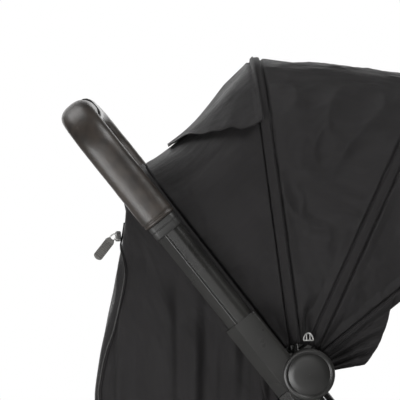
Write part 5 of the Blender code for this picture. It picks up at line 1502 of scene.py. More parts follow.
    def ribbon(self, name: str, index: int, angle: float, reach: float, width: float, proud: float) -> Piece:
        """A sewn strip over an arch, rounded across.

        Args:
            name: The strip's name.
            index: The bow's layer.
            angle: The arch's angle.
            reach: The arch's reach.
            width: The strip's width.
            proud: How far its middle stands out of the cloth.

        Returns:
            The strip.
        """
        rows = 8
        spread = [2 * row / rows - 1 for row in range(rows + 1)]
        lines = [self.arch(index, reach, 0.0, 0.0003 + proud * (1 - across ** 4)) for across in spread]

        def place(u: float, v: float) -> Vector:
            point = lines[int(round(v * rows))][min(int(round(u * self.columns)), self.columns)]
            turn = (0.5 - v) * width / max(point.y, 0.06) * min(1.0, point.y / 0.06)
            return self.at(angle + turn, point.x, point.y)

        return Finishes.BOUND.dress(Mesher.cloth(name, (self.columns, rows), place, 0.0009))

    def build_ribbons(self) -> list[Piece]:
        """The bow pockets and the bindings of the canopy's two ends."""
        pieces: list[Piece] = []
        for name, index, angle, reach, width, body in (
            ("canopy_rear_pocket", 0, self.rear, self.rear_reach, 0.011, "chassis"),
            ("canopy_middle_pocket", 1, self.middle, self.middle_reach, 0.011, "canopy_middle"),
            ("canopy_front_binding", 2, self.front + 0.005, self.front_reach, 0.011, "canopy_front"),
            ("canopy_nape_binding", 0, self.nape - 0.006, self.nape_reach, 0.009, "chassis"),
        ):
            pieces.append(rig.ride(self.ribbon(name, index, angle, reach, width, 0.0008), body))
        return pieces

    def build(self) -> list[Piece]:
        """Builds the whole canopy's cloth."""
        trims = self.build_ribbons() + [self.build_gusset(side) for side in Side]
        return [*self.build_panels(trims), self.build_flap(), *trims, self.build_slider()]


@dataclass
class SeatSurround:
    """The cloth wings beside the seat and the cloth that hangs behind the backrest."""

    stance: Stance
    half_width: float = 0.1665
    bottom: float = -0.181
    top: float = 0.224
    steps: int = 138
    columns: int = 276
    rows: int = 60
    stand: float = 0.0035
    fold_depth: float = 0.0096
    crumple_depth: float = 0.0016
    binding_proud: float = 0.0009
    rear_knots: tuple[tuple[float, float], ...] = (
        (-0.181, -0.100), (-0.160, -0.185), (-0.120, -0.235), (-0.050, -0.258), (0.017, -0.253), (0.100, -0.236),
        (0.193, -0.219), (0.224, -0.231),
    )
    front_knots: tuple[tuple[float, float], ...] = (
        (-0.181, 0.050), (-0.120, 0.018), (-0.060, -0.026), (-0.020, -0.042), (0.030, -0.052), (0.110, -0.108),
        (0.224, -0.190),
    )

    def level(self, z: float, share: float) -> tuple[Vector, Vector]:
        """A point of the outline at one height, and the way out of the cloth there."""
        front, rear = Line.read(self.front_knots, z), Line.read(self.rear_knots, z)
        lean = self.stance.back_lean
        back = self.stance.seat_rear_x - (z - self.stance.seat_z) * math.tan(lean) - 0.004 / math.cos(lean)
        corner = min(0.006 + back - rear, 0.040)
        wide = self.half_width
        corners = [(front, -wide, 0), (rear, -wide, corner), (rear, wide, corner), (front, wide, 0)]
        points = Line.spread(Line.rounded(corners, 12, closed=False), self.steps + 1)
        spot = share * self.steps
        index = min(int(spot), self.steps - 1)
        along = (points[index + 1] - points[index]).normalized()
        return points[index].lerp(points[index + 1], spot - index), Vector((-along.y, along.x))

    def point(self, u: float, v: float, proud: float = 0.0) -> Vector:
        """A point of the cloth's outer face with its hanging folds.

        Args:
            u: The share round it, from the near front edge to the far one.
            v: The share up it.
            proud: How far outside the face the point stands.

        Returns:
            The point.
        """
        z = self.bottom + (self.top - self.bottom) * v ** 1.5
        here, outward = self.level(z, u)
        hang = math.sin(math.pi * min(max(1.15 - v, 0.0), 1.0) ** 1.2) ** 0.5 if v < 1 else 0.0
        wave = math.sin(2 * math.pi * 11 * u + 1.2 * math.sin(3 * v)) * hang
        away = 1 - math.exp(-((min(u, 1 - u) - 0.19) / 0.035) ** 2)
        loose = hang * min(1.0, max(0.0, (0.93 - v) / 0.13)) * away
        behind = 1 - min(1.0, abs(here.y) / self.half_width) ** 8
        ahead = here.x * (1 - behind) - 0.245 * behind
        fall = Vector(((ahead - here.y * 0.6) * 74.0, v * (0.9 - 0.5 * behind), 7.3 + here.y * 3.0))
        hollow = max(0.0, 0.45 + noise.noise(fall)) ** 2 * self.fold_depth * loose * (1 - 0.35 * behind)
        crumple = max(0.0, 0.4 + noise.noise(Vector((u * 16.0, v * 11.0, 1.9)))) * self.crumple_depth * loose
        here = here + outward * (proud + self.stand * (1 - away * (1 + wave) / 2) - hollow - crumple)
        return self.stance.at(here.x, here.y, z)

    def edge_strip(self, name: str, place: Place, long: int) -> Piece:
        """A binding sewn along an edge of the cloth."""
        return self.bend(Finishes.BOUND.dress(Mesher.cloth(name, (long, 6), place, 0.0012)))

    def bend(self, piece: Piece) -> Piece:
        """Lets a piece bend from the chassis at the front to the backrest behind."""
        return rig.blend(piece, "chassis", "backrest", self.stance.at(-0.045, 0, 0), self.stance.at(-0.135, 0, -0.030))

    def build(self) -> list[Piece]:
        """Builds the cloth with its hem and its front bindings."""
        wide, high, proud = self.columns, self.rows, self.binding_proud
        cloth = Finishes.CLOTH.dress(Mesher.cloth("seat_surround_cloth", (wide, high), self.point, 0.0016))
        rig.replaces(cloth, "seat_surround")
        self.bend(cloth)
        tall = Line.length([self.point(0.5, index / 40) for index in range(41)])
        hem = self.edge_strip("surround_hem", lambda u, v: self.point(u, v * 0.055, proud), wide)
        near = self.edge_strip("surround_near_binding", lambda u, v: self.point(0.018 * (1 - v), u, proud), high)
        far = self.edge_strip("surround_far_binding", lambda u, v: self.point(1 - 0.018 * v, u, proud), high)
        flat = (Mesher.one_side(cloth) / tall, tall)
        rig.sheet(cloth, flat, held="hung", rests_on=["backrest_board", "seat_frame"], with_pieces=[hem, near, far])
        return [cloth, hem, near, far]


@dataclass(frozen=True)
class PadPlan:
    """One sewn pad: its node, its body, its size and the lie of its back."""

    node: str
    body: str
    width: float
    length: float
    depth: float
    rim: float
    channels: int
    placement: Matrix


@dataclass
class Pads:
    """The seat, backrest and calf cushions, blown up as cloth and then sewn through."""

    stance: Stance
    voxel: float = 0.005
    cap: float = 0.009
    piping: float = 0.0021

    def plans(self) -> list[PadPlan]:
        """The three pads."""
        seat_at = self.stance.at(0.093, 0, self.stance.pad_back)
        seat = Stance.axes(seat_at, Vector((0, -1, 0)), Vector((1, 0, 0)), Vector((0, 0, 1)))
        back = self.stance.back_plane(0.235, 0.0043) @ Matrix.Diagonal((-1, -1, 1, 1))
        lean = math.radians(12)
        down, front = Vector((math.sin(lean), 0, -math.cos(lean))), Vector((math.cos(lean), 0, math.sin(lean)))
        calf_at = self.stance.at(0.215, 0, -0.200) + front * 0.0136 + down * 0.086
        calf = Stance.axes(calf_at, Vector((0, -1, 0)), down, front)
        return [
            PadPlan("seat_pad", "chassis", 0.292, 0.232, self.stance.pad_depth, 0.010, 3, seat),
            PadPlan("backrest_pad", "backrest", 0.3034, 0.398, 0.034, 0.010, 4, back),
            PadPlan("calf_pad", "calf_rest", 0.290, 0.144, 0.016, 0.006, 2, calf),
        ]

    @staticmethod
    def outline(plan: PadPlan, u: float, v: float, shrink: float = 0.0) -> Vector:
        """A point of the pad's plan, its sides drawn in between the corners.

        Args:
            plan: The pad.
            u: The place across, from -1 to 1.
            v: The place along, from -1 to 1.
            shrink: How much smaller the pad starts, in metres a side.

        Returns:
            The point, in the pad's own plane.
        """
        corner = 1 - 0.05 * u * u * v * v
        x = u * (plan.width / 2 - shrink) * (1 - 0.02 * (1 - v * v) * u * u) * corner
        y = v * (plan.length / 2 - shrink) * (1 - 0.015 * (1 - u * u) * v * v) * corner
        return Vector((x, y))

    def start(self, plan: PadPlan) -> Piece:
        """The pad's slack shape before it is blown up."""
        work = bmesh.new()
        bmesh.ops.create_grid(work, x_segments=26, y_segments=34, size=0.5)
        bmesh.ops.recalc_face_normals(work, faces=work.faces)
        made = bmesh.ops.extrude_face_region(work, geom=work.faces[:])["geom"]
        crown = plan.depth * 0.84
        for vert in (item for item in made if isinstance(item, bmesh.types.BMVert)):
            u, v = 2 * vert.co.x, 2 * vert.co.y
            vert.co.z = plan.rim * 0.9 + (crown - plan.rim * 0.9) * ((1 - u ** 4) * (1 - v ** 6)) ** 0.5
        for vert in work.verts:
            spot = self.outline(plan, 2 * vert.co.x, 2 * vert.co.y, 0.004)
            vert.co = plan.placement @ Vector((spot.x, spot.y, vert.co.z))
        bmesh.ops.recalc_face_normals(work, faces=work.faces)
        return Mesher.finish(work, f"{plan.node}_cushion", 80.0)

    def blow_up(self, pad: Piece, plan: PadPlan) -> None:
        """Remeshes the pad and fills it by cloth pressure, within its cap and its bed."""
        step = pad.modifiers.new("remesh", "REMESH")
        step.mode = "VOXEL"
        step.voxel_size = self.voxel
        Mesher.applied(pad)
        rest = [vert.co.copy() for vert in pad.data.vertices]
        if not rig.quick():
            cloth = pad.modifiers.new("filling", "CLOTH")
            cloth.settings.quality = 5
            cloth.settings.mass = 0.3
            cloth.settings.tension_stiffness = 14
            cloth.settings.compression_stiffness = 14
            cloth.settings.use_pressure = True
            cloth.settings.uniform_pressure_force = 4.0
            cloth.settings.effector_weights.gravity = 0.0
            for index in range(1, 21):
                bpy.context.scene.frame_set(index)
            Mesher.applied(pad)
            bpy.context.scene.frame_set(1)
        turned = plan.placement.inverted()
        for vert, old in zip(pad.data.vertices, rest):
            move = vert.co - old
            if move.length > self.cap:
                move *= self.cap / move.length
            spot = turned @ (old + move)
            spot.x = max(-plan.width / 2, min(plan.width / 2, spot.x))
            spot.y = max(-plan.length / 2, min(plan.length / 2, spot.y))
            spot.z = max(0.0003, min(plan.depth, spot.z))
            vert.co = plan.placement @ spot
        axes = {"use_axis_x": True, "use_axis_y": True, "use_axis_z": True}
        with Mesher.edited(pad) as work:
            for _ in range(3):
                bmesh.ops.smooth_vert(work, verts=work.verts, factor=0.5, **axes)
        finer = pad.modifiers.new("finer", "SUBSURF")
        finer.levels = finer.render_levels = 1
        Mesher.applied(pad)

    def sew(self, pad: Piece, plan: PadPlan) -> None:
        """Presses the sewn channels into the pad's front, with the puckers beside them."""
        turned = plan.placement.inverted()

        def depth(at: Vector, _: Vector) -> float:
            spot = turned @ at
            if spot.z < plan.rim * 0.7:
                return 0.0
            along = spot.y / plan.length + 0.5
            inner = 1 - min(1.0, abs(2 * spot.x / plan.width)) ** 8
            top = min(1.0, (spot.z - plan.rim * 0.7) / (plan.depth * 0.35))
            sewn = 0.0
            for index in range(1, plan.channels):
                off = (along - index / plan.channels) * plan.length
                sewn += math.exp(-abs(off / 0.0042) ** 1.6)
            pucker = noise.noise(Vector((spot.x * 95.0, spot.y * 26.0, 4.0)))
            lines = [(along - index / plan.channels) * plan.length for index in range(plan.channels + 1)]
            near = min(1.0, sum(math.exp(-(off / 0.016) ** 2) for off in lines))
            soft = noise.noise(at * 16.0) * 0.0011
            return top * (soft + pucker * near * 0.0013 - sewn * inner * plan.depth * 0.26)

        Mesher.ruffled(pad, depth)

    def edge(self, plan: PadPlan) -> Piece:
        """The piping round the pad's front edge."""
        ring: list[Vector] = []
        for u0, v0, u1, v1 in ((-1, -1, 1, -1), (1, -1, 1, 1), (1, 1, -1, 1), (-1, 1, -1, -1)):
            for index in range(40):
                share = index / 40
                ring.append(self.outline(plan, u0 + (u1 - u0) * share, v0 + (v1 - v0) * share, 0.0022))
        closed = [(ring[i - 1] + ring[i] + ring[(i + 1) % len(ring)]) / 3 for i in range(len(ring))]
        points = [plan.placement @ Vector((spot.x, spot.y, plan.rim * 0.9)) for spot in closed]
        return Mesher.tube(f"{plan.node}_piping", points, self.piping, 10, loop=True)

    def build(self) -> list[Piece]:
        """Builds the three pads with their piping."""
        pieces: list[Piece] = []
        for plan in self.plans():
            pad = self.start(plan)
            self.blow_up(pad, plan)
            self.sew(pad, plan)
            piping = self.edge(plan)
            for piece in (pad, piping):
                Finishes.PAD.dress(piece)
                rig.ride(piece, plan.body)
                pieces.append(piece)
            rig.replaces(pad, plan.node)
            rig.padded(pad, fill=0.6)
        return pieces


@dataclass
class Harness:
    """The webbing straps."""

    stance: Stance
    width: float = 0.025
    thickness: float = 0.002
    buckle_gap: float = 0.026
    buckle_height: float = 0.040

    def strap(self, name: str, knots: Sequence[Vector], across: Vector, long: int) -> Piece:
        """A flat strap through knots.

        Args:
            name: The strap's name.
            knots: The points of its back.
            across: The direction across it, so that its front is on the side of travel crossed with it.
            long: The faces along it.

        Returns:
            The dressed strap.
        """

        def place(u: float, v: float) -> Vector:
            edge = abs(2 * v - 1) ** 6 * 0.0003
            return Line.through(knots, u) + across * ((v - 0.5) * self.width) + Vector((0, 0, edge))

        return Finishes.WEBBING.dress(Mesher.cloth(name, (long, 8), place, self.thickness))

    def build(self) -> list[Piece]:
        """Builds the two shoulder straps and the crotch strap."""
        back = self.stance.back_plane()
        buckle_z = self.stance.pad_back + self.stance.pad_depth + self.buckle_gap + self.buckle_height * 0.45
        pieces: list[Piece] = []
        for side in Side:
            hand = side.value
            knots = [
                back @ Vector((hand * 0.048, 0.318, 0.0326)),
                back @ Vector((hand * 0.048, 0.300, 0.0386)),
                back @ Vector((hand * 0.048, 0.225, 0.0426)),
                back @ Vector((hand * 0.0509, 0.144, 0.0446)),
                back @ Vector((hand * 0.0528, 0.099, 0.0566)),
                self.stance.at(0.040, hand * 0.0415, buckle_z + 0.010),
                self.stance.at(0.070, hand * 0.0350, buckle_z),
            ]
            strap = self.strap(f"shoulder_strap_{side.label}_webbing", knots, Vector((0, 1, 0)), 110)
            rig.replaces(strap, f"shoulder_strap_{side.label}")
            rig.blend(strap, "chassis", "backrest", self.stance.at(0.060, 0, -0.110), knots[4])
            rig.sheet(strap, flat=(self.width, self.run(knots)), held="hung", rests_on=["backrest_pad", "buckle"])
            pieces.append(strap)
        foot = [self.stance.at(0.068, 0, -0.172), self.stance.at(0.0665, 0, -0.150), self.stance.at(0.068, 0, -0.1295)]
        crotch = self.strap("crotch_strap_webbing", foot, Vector((0, -1, 0)), 20)
        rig.replaces(crotch, "crotch_strap")
        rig.sheet(crotch, flat=(self.width, self.run(foot)), held="stretched", rests_on=["seat_base", "buckle"])
        return [*pieces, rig.ride(crotch, "chassis")]

    @staticmethod
    def run(knots: Sequence[Vector]) -> float:
        """The length of the curve through knots."""
        return Line.length([Line.through(knots, index / 80) for index in range(81)])


@dataclass
class Basket:
    """The sagging shopping basket with its bound rim and its two hanging webs."""

    stance: Stance
    rear: float = -0.214
    half_width: float = 0.160
    bottom: float = 0.175
    spread: float = 0.018
    rear_rim: float = 0.315
    front_rim: float = 0.300
    steps: int = 160
    rim_dip: float = 0.006
    wall_slack: float = 0.0035
    web_x: float = -0.064
    web_y: float = 0.178
    web_width: float = 0.022
    cut_length: float = 0.60

    @property
    def front(self) -> float:
        """The front wall's place, just behind the footrest bar."""
        return (self.stance.rail_foot - self.stance.rail_up * 0.455).x - 0.0093

    def around(self, share: float, inset: float, corner: float) -> Vector:
        """A point of the basket's outline.

        Args:
            share: How far round it.
            inset: How far inside the rim's outline.
            corner: The corners' radius.

        Returns:
            The point in plan.
        """
        x0, x1, y1 = self.rear + inset, self.front - inset, self.half_width - inset
        ring = Line.rounded([(x0, -y1, corner), (x1, -y1, corner), (x1, y1, corner), (x0, y1, corner)], 8)
        return Line.spread([*ring, ring[0]], self.steps + 1)[int(round(share * self.steps))]

    def point(self, u: float, v: float, proud: float = 0.0) -> Vector:
        """A point of the outer face: down the wall for v to 0.5, then in over the bottom.

        Args:
            u: The share round the basket.
            v: The share down and in.
            proud: How far outside the face.

        Returns:
            The point.
        """
        down = min(v / 0.5, 1.0)
        curl = max(0.0, (down - 0.86) / 0.14)
        inset = self.spread * down + 0.010 * curl ** 2 - proud
        spot = self.around(u, inset, 0.022)
        rim = self.rear_rim + (self.front_rim - self.rear_rim) * (spot.x - self.rear) / (self.front - self.rear)
        off_web = min(1.0, abs(spot.x - self.web_x) / 0.13)
        ends = min(1.0, abs(spot.y) / 0.10)
        rim -= self.rim_dip * off_web * (1 - ends * 0.5)
        z = rim + (self.bottom - rim) * (down - 0.05 * curl ** 3 * (1 - down))
        slack = math.sin(math.pi * down) * self.wall_slack
        fold = noise.noise(Vector((spot.x * 22.0, spot.y * 22.0, z * 9.0))) * slack
        centre = Vector(((self.rear + self.front) / 2, 0.0))
        spot += (spot - centre).normalized() * fold
        if v > 0.5:
            inward = (v - 0.5) / 0.5
            spot = spot.lerp(centre, inward)
            ripple = noise.noise(Vector((spot.x * 18.0, spot.y * 18.0, 2.0)))
            z += (0.0012 + 0.0012 * ripple) * min(1.0, inward * 3.0)
        return Vector((spot.x, spot.y, z))

    def build(self) -> list[Piece]:
        """Builds the cloth tray, its rim binding and its webs."""
        tray = Mesher.grid("basket_cloth_tray", self.steps, 72, self.point)
        with Mesher.edited(tray) as work:
            bmesh.ops.remove_doubles(work, verts=work.verts, dist=0.0001)
            bmesh.ops.recalc_face_normals(work, faces=work.faces)
        tray.data.set_sharp_from_angle(angle=math.radians(70))
        Finishes.MESHED.dress(Mesher.applied(Mesher.thickened(tray, 0.0024, -1.0)))
        strip = (self.steps, 6)
        binding = Mesher.cloth("basket_rim_binding", strip, lambda u, v: self.point(u, v * 0.05, 0.0008), 0.0040, -1.0)
        Finishes.BOUND.dress(binding)
        webs = [self.web(side) for side in Side]
        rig.replaces(tray, "basket")
        flat = (Mesher.one_side(tray) / self.cut_length, self.cut_length)
        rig.sheet(tray, flat, held="hung", rests_on=["seat_frame"], with_pieces=[binding, *webs])
        return [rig.ride(piece, "chassis") for piece in (tray, binding, *webs)]

    def web(self, side: Side) -> Piece:
        """The strap that hangs the basket from a seat rail."""
        rail = self.stance.at(0, 0, self.stance.seat_z).z
        reach = side.value * self.web_y
        low = [(side.value * across, tall) for across, tall in ((0.1563, 0.262), (0.1590, 0.300), (0.1712, 0.400))]
        knots = [Vector((self.web_x, y, z)) for y, z in (*low, (reach - side.value * 0.0010, rail - 0.0084))]

        def place(u: float, v: float) -> Vector:
            return Line.through(knots, u) + Vector(((v - 0.5) * self.web_width, 0, 0))

        web = Mesher.cloth(f"basket_web_{side.label}", (40, 6), place, 0.0016, 0.0)
        return Finishes.WEBBING.dress(Mesher.merged([web, self.loop(side, rail, reach)]))

    def loop(self, side: Side, rail: float, reach: float) -> Piece:
        """The web's end, wrapped once round the seat rail."""
        count, out = 28, 0.0090
        ring = [Vector((0, reach + out * math.cos(turn), rail + out * math.sin(turn))) for turn in Mesher.angles(count)]

        def place(u: float, v: float) -> Vector:
            return ring[int(round(u * count)) % count] + Vector((self.web_x + (v - 0.5) * self.web_width, 0, 0))

        return Mesher.cloth(f"basket_loop_{side.label}", (count, 2), place, 0.0012, 0.0)


@dataclass
class Wheels:
    """The tyres and the spoked rims."""

    spokes: int = 5
    web: float = 0.004
    hub_share: float = 0.24

    def tyre(self, name: str, centre: Vector, radius: float, seat: float, half: float) -> Piece:
        """A tyre with two grooves and rounded shoulders."""
        half_profile = [
            (seat, -half * 0.72, 0.0), (seat + 0.002, -half * 0.90, 0.0015), (radius - 0.0050, -half, 0.0042),
            (radius - 0.0002, -half * 0.50, 0.0040), (radius - 0.0001, -half * 0.44, 0.0003),
            (radius - 0.0017, -half * 0.40, 0.0003), (radius - 0.0017, -half * 0.30, 0.0003),
            (radius, -half * 0.26, 0.0003),
        ]
        return Finishes.TYRE.dress(Mesher.spin(name, Line.mirrored(half_profile, 4), centre, 1, 96, 32.0))

    def rim(self, name: str, centre: Vector, radius: float, seat: float, half: float) -> Piece:
        """A rim turned with its hub and web, and five rounded windows cut through the web."""
        hub, outer, web = radius * self.hub_share, seat - 0.0003, self.web
        side = [
            (0.0053, -half, 0.0), (hub - 0.004, -half, 0.0008), (hub - 0.0034, -half + 0.0010, 0.0004),
            (hub - 0.0022, -half + 0.0010, 0.0004), (hub - 0.0016, -half, 0.0006), (hub, -half, 0.0012),
            (hub + 0.003, -web, 0.003), (outer - 0.006, -web, 0.002), (outer - 0.004, -half * 0.7, 0.001),
            (outer, -half * 0.7, 0.0006),
        ]
        rim = Mesher.spin(name, Line.mirrored(side, 3), centre, 1, 100, 32.0)
        plane = Stance.axes(centre, Vector((1, 0, 0)), Vector((0, 0, 1)), Vector((0, -1, 0)))
        low, high = hub + 0.004, outer - 0.008
        Mesher.carved(rim, [self.window(index, low, high, half, plane) for index in range(self.spokes)])
        rim.data.set_sharp_from_angle(angle=math.radians(32))
        Mesher.eased(rim, 0.0009)
        return Finishes.MOULDED.dress(rim)

    def window(self, index: int, inner: float, outer: float, half: float, plane: Matrix) -> Piece:
        """The cutter for one window between two spokes."""
        angle = 2 * math.pi * (index + 0.5) / self.spokes
        spread = math.pi / self.spokes * 0.62
        arc = [(outer * 1.01, spread * (step / 4 - 1)) for step in range(1, 8)]
        shape = [(inner, -spread * 0.6, inner * 0.14), (outer, -spread, outer * 0.07)]
        shape += [(reach, turn, 0.0) for reach, turn in arc]
        shape += [(outer, spread, outer * 0.07), (inner, spread * 0.6, inner * 0.14)]
        corners = [
            (reach * math.cos(angle + turn), reach * math.sin(angle + turn), corner) for reach, turn, corner in shape
        ]
        return Mesher.prism(f"window_{index}", Line.rounded(corners, 4), half * 4, plane)

    def build(self) -> list[Piece]:
        """Builds the four wheels."""
        pieces: list[Piece] = []
        for side in Side:
            hand = side.value
            for kind, centre, radius, seat, half in (
                ("front", Vector((0.296, hand * 0.178, 0.0642)), 0.0641, 0.051, 0.013),
                ("rear", Vector((-0.269, hand * 0.2455, 0.07408)), 0.0740, 0.061, 0.014),
            ):
                tyre = self.tyre(f"{kind}_tyre_{side.label}_grooved", centre, radius, seat, half)
                rim = self.rim(f"{kind}_rim_{side.label}_spoked", centre, radius, seat, half)
                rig.replaces(tyre, f"{kind}_tyre_{side.label}")
                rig.replaces(rim, f"{kind}_rim_{side.label}")
                pieces += [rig.ride(piece, f"{kind}_wheel_{side.label}") for piece in (tyre, rim)]
        return pieces


@dataclass
class Zips:
    """The surround's zip: its tape, its coil and the ribbed pull."""

    surround: SeatSurround
    share: float = 10 / 46
    stop: float = 0.925
    tape_share: float = 0.0085
    pull_at: tuple[float, float, float] = (-0.29118, -0.13474, 0.82811)
    pull_slope: float = math.radians(52)
    pull_neck: float = 0.004
    pull_tip: float = 0.0310
    rib_start: float = 0.0080
    rib_pitch: float = 0.0023
    rib_depth: float = 0.60
    inset_knots: tuple[tuple[float, float], ...] = (
        (-0.181, 0.010), (-0.120, 0.007), (0.017, 0.006), (0.089, 0.013), (0.150, 0.012), (0.170, 0.009),
    )

    def share_at(self, v: float) -> float:
        """The share round the cloth where the zip runs at a height share, near its rear corner."""
        z = self.surround.bottom + (self.surround.top - self.surround.bottom) * v ** 1.5
        rear = Line.read(self.surround.rear_knots, z)
        inset = Line.read(self.inset_knots, z)
        low, high = 0.02, 0.30
        for _ in range(24):
            middle = (low + high) / 2
            if self.surround.level(z, middle)[0].x - rear > inset:
                low = middle
            else:
                high = middle
        top = min(1.0, max(0.0, (v - 0.80) / 0.10))
        return low + (self.share - low) * top * top * (3 - 2 * top)

    def line(self, proud: float) -> list[Vector]:
        """Points down the zip, from the slider to the hem."""
        heights = [self.stop * (1 - index / 120) for index in range(121)]
        return [self.surround.point(self.share_at(v), v, proud) for v in heights]

    def build(self) -> list[Piece]:
        """Builds the tape, the coil and the pull."""

        def place(u: float, v: float) -> Vector:
            height = self.stop * (1 - u)
            return self.surround.point(self.share_at(height) + self.tape_share * (0.5 - v), height, 0.0006)

        tape = Finishes.BOUND.dress(Mesher.cloth("zip_tape", (120, 4), place, 0.0008))
        coil = Finishes.MOULDED.dress(Mesher.tube("zip_coil", self.line(0.0020), 0.0010, 8))
        return [self.surround.bend(tape), self.surround.bend(coil), *self.pull()]

    def pull(self) -> list[Piece]:
        """The soft grey pull, a flat tab with ribs across it, and its steel bail."""
        along = Vector((-math.cos(self.pull_slope), 0, -math.sin(self.pull_slope)))
        across = Vector((0, 1, 0))
        pivot = Vector(self.pull_at)
        section = Line.box(0.0058, 0.0013, 0.0009, 4)
        stations: list[Matrix] = []
        for index in range(69):
            reach = self.pull_neck + 0.031 * index / 68
            neck = min(1.0, 0.55 + 0.45 * ((reach - self.pull_neck) / 0.0040) ** 0.6)
            tip = min(1.0, max(0.03, 1 - max(0.0, (reach - self.pull_tip) / 0.0040) ** 2)) ** 0.5
            turn = 2 * math.pi * (reach - self.rib_start) / self.rib_pitch
            ribbed = self.rib_start < reach < self.pull_tip
            thick = 1.0 - (self.rib_depth * (0.5 - 0.5 * math.cos(turn)) if ribbed else 0.0)
            frame = Stance.axes(pivot + along * reach, across.cross(along), -across, -along)
            stations.append(frame @ Matrix.Diagonal((neck * tip, thick * min(1.0, 0.5 + tip), 1.0, 1.0)))
        swept = Mesher.sweep("zip_pull_ribbed", section, stations, sharp=50.0)
        tab = Finishes.RUBBER.settle(swept, "zip_pull", "zip_pull")
        ring = [
            pivot + along * (0.0022 + 0.0052 * math.cos(a)) + across.cross(along) * (0.0030 * math.sin(a))
            for a in Mesher.angles(24)
        ]
        bail = Finishes.STEEL.dress(Mesher.tube("zip_bail", ring, 0.0008, 8, loop=True))
        return [tab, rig.ride(bail, "zip_pull")]


@dataclass
class Trim:
    """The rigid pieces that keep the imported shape, with their edges eased."""

    frame: dict
    stance: Stance
    facet_behind: float = 0.021
    facet_out: float = 0.206
    facet_move: float = 0.006

    def plan(self) -> dict[str, tuple[Finish, float]]:
        """The finish and edge width of each carried-over node."""
        tube, moulded, glossy = Finishes.TUBE, Finishes.MOULDED, Finishes.GLOSSY
        rubber, steel = Finishes.RUBBER, Finishes.STEEL
        plan = {
            "release_housing": (glossy, 0.0012), "release_button": (rubber, 0.0008), "lock_slide": (rubber, 0.0005),
            "footrest_bar": (tube, 0.0008), "seat_base": (moulded, 0.0010), "buckle": (glossy, 0.0010),
            "buckle_button": (rubber, 0.0006), "zip_slider": (steel, 0.0008), "rear_axle": (steel, 0.0008),
            "brake_bar": (tube, 0.0008), "brake_pedal": (moulded, 0.0015), "backrest_board": (moulded, 0.0010),
            "calf_board": (moulded, 0.0010), "canopy_bow_rear": (tube, 0.0004), "canopy_bow_middle": (tube, 0.0004),
            "canopy_bow_front": (tube, 0.0004),
        }
        paired = {
            "lower_tube": (tube, 0.0009), "hub_pin": (steel, 0.0005), "front_housing": (moulded, 0.0014),
            "handle_knuckle": (tube, 0.0012), "rear_leg": (tube, 0.0012), "front_fork": (moulded, 0.0012),
            "front_axle": (steel, 0.0008),
        }
        for side in Side:
            plan |= {f"{node}_{side.label}": choice for node, choice in paired.items()}
        return plan

    def build(self) -> list[Piece]:
        """Copies, eases and dresses each node, and bends the seat's tube loop anew."""
        owners = {node: body for body, nodes in self.frame["record"]["behaviour"]["bodies"].items() for node in nodes}
        pieces = [self.seat_loop()]
        for node, (finish, width) in self.plan().items():
            piece = Mesher.welded(self.frame["nodes"][node], f"{node}_eased")
            if node.startswith("handle_knuckle"):
                self.steepen(piece)
            pieces.append(finish.settle(Mesher.eased(piece, width), node, owners[node]))
        return pieces

    def steepen(self, piece: Piece) -> None:
        """Deepens the facet of a hub's sleeve to match the tube's."""
        for vert in piece.data.vertices:
            ahead = (vert.co - self.stance.rail_foot).dot(self.stance.rail_front)
            if ahead < -self.facet_behind and abs(vert.co.y) > self.facet_out:
                vert.co.y -= math.copysign(self.facet_move, vert.co.y)

    def seat_loop(self) -> Piece:
        """The seat's closed tube loop with smooth corners."""
        corners = [(x, y, 0.035) for x, y in ((-0.055, -0.178), (0.215, -0.178), (0.215, 0.178), (-0.055, 0.178))]
        outline = Line.rounded(corners, 12)
        line = [self.stance.at(point.x, point.y, self.stance.seat_z) for point in outline]
        loop = Mesher.tube("seat_frame_bent", line, 0.008, 24, loop=True)
        return Finishes.TUBE.settle(loop, "seat_frame", "chassis")


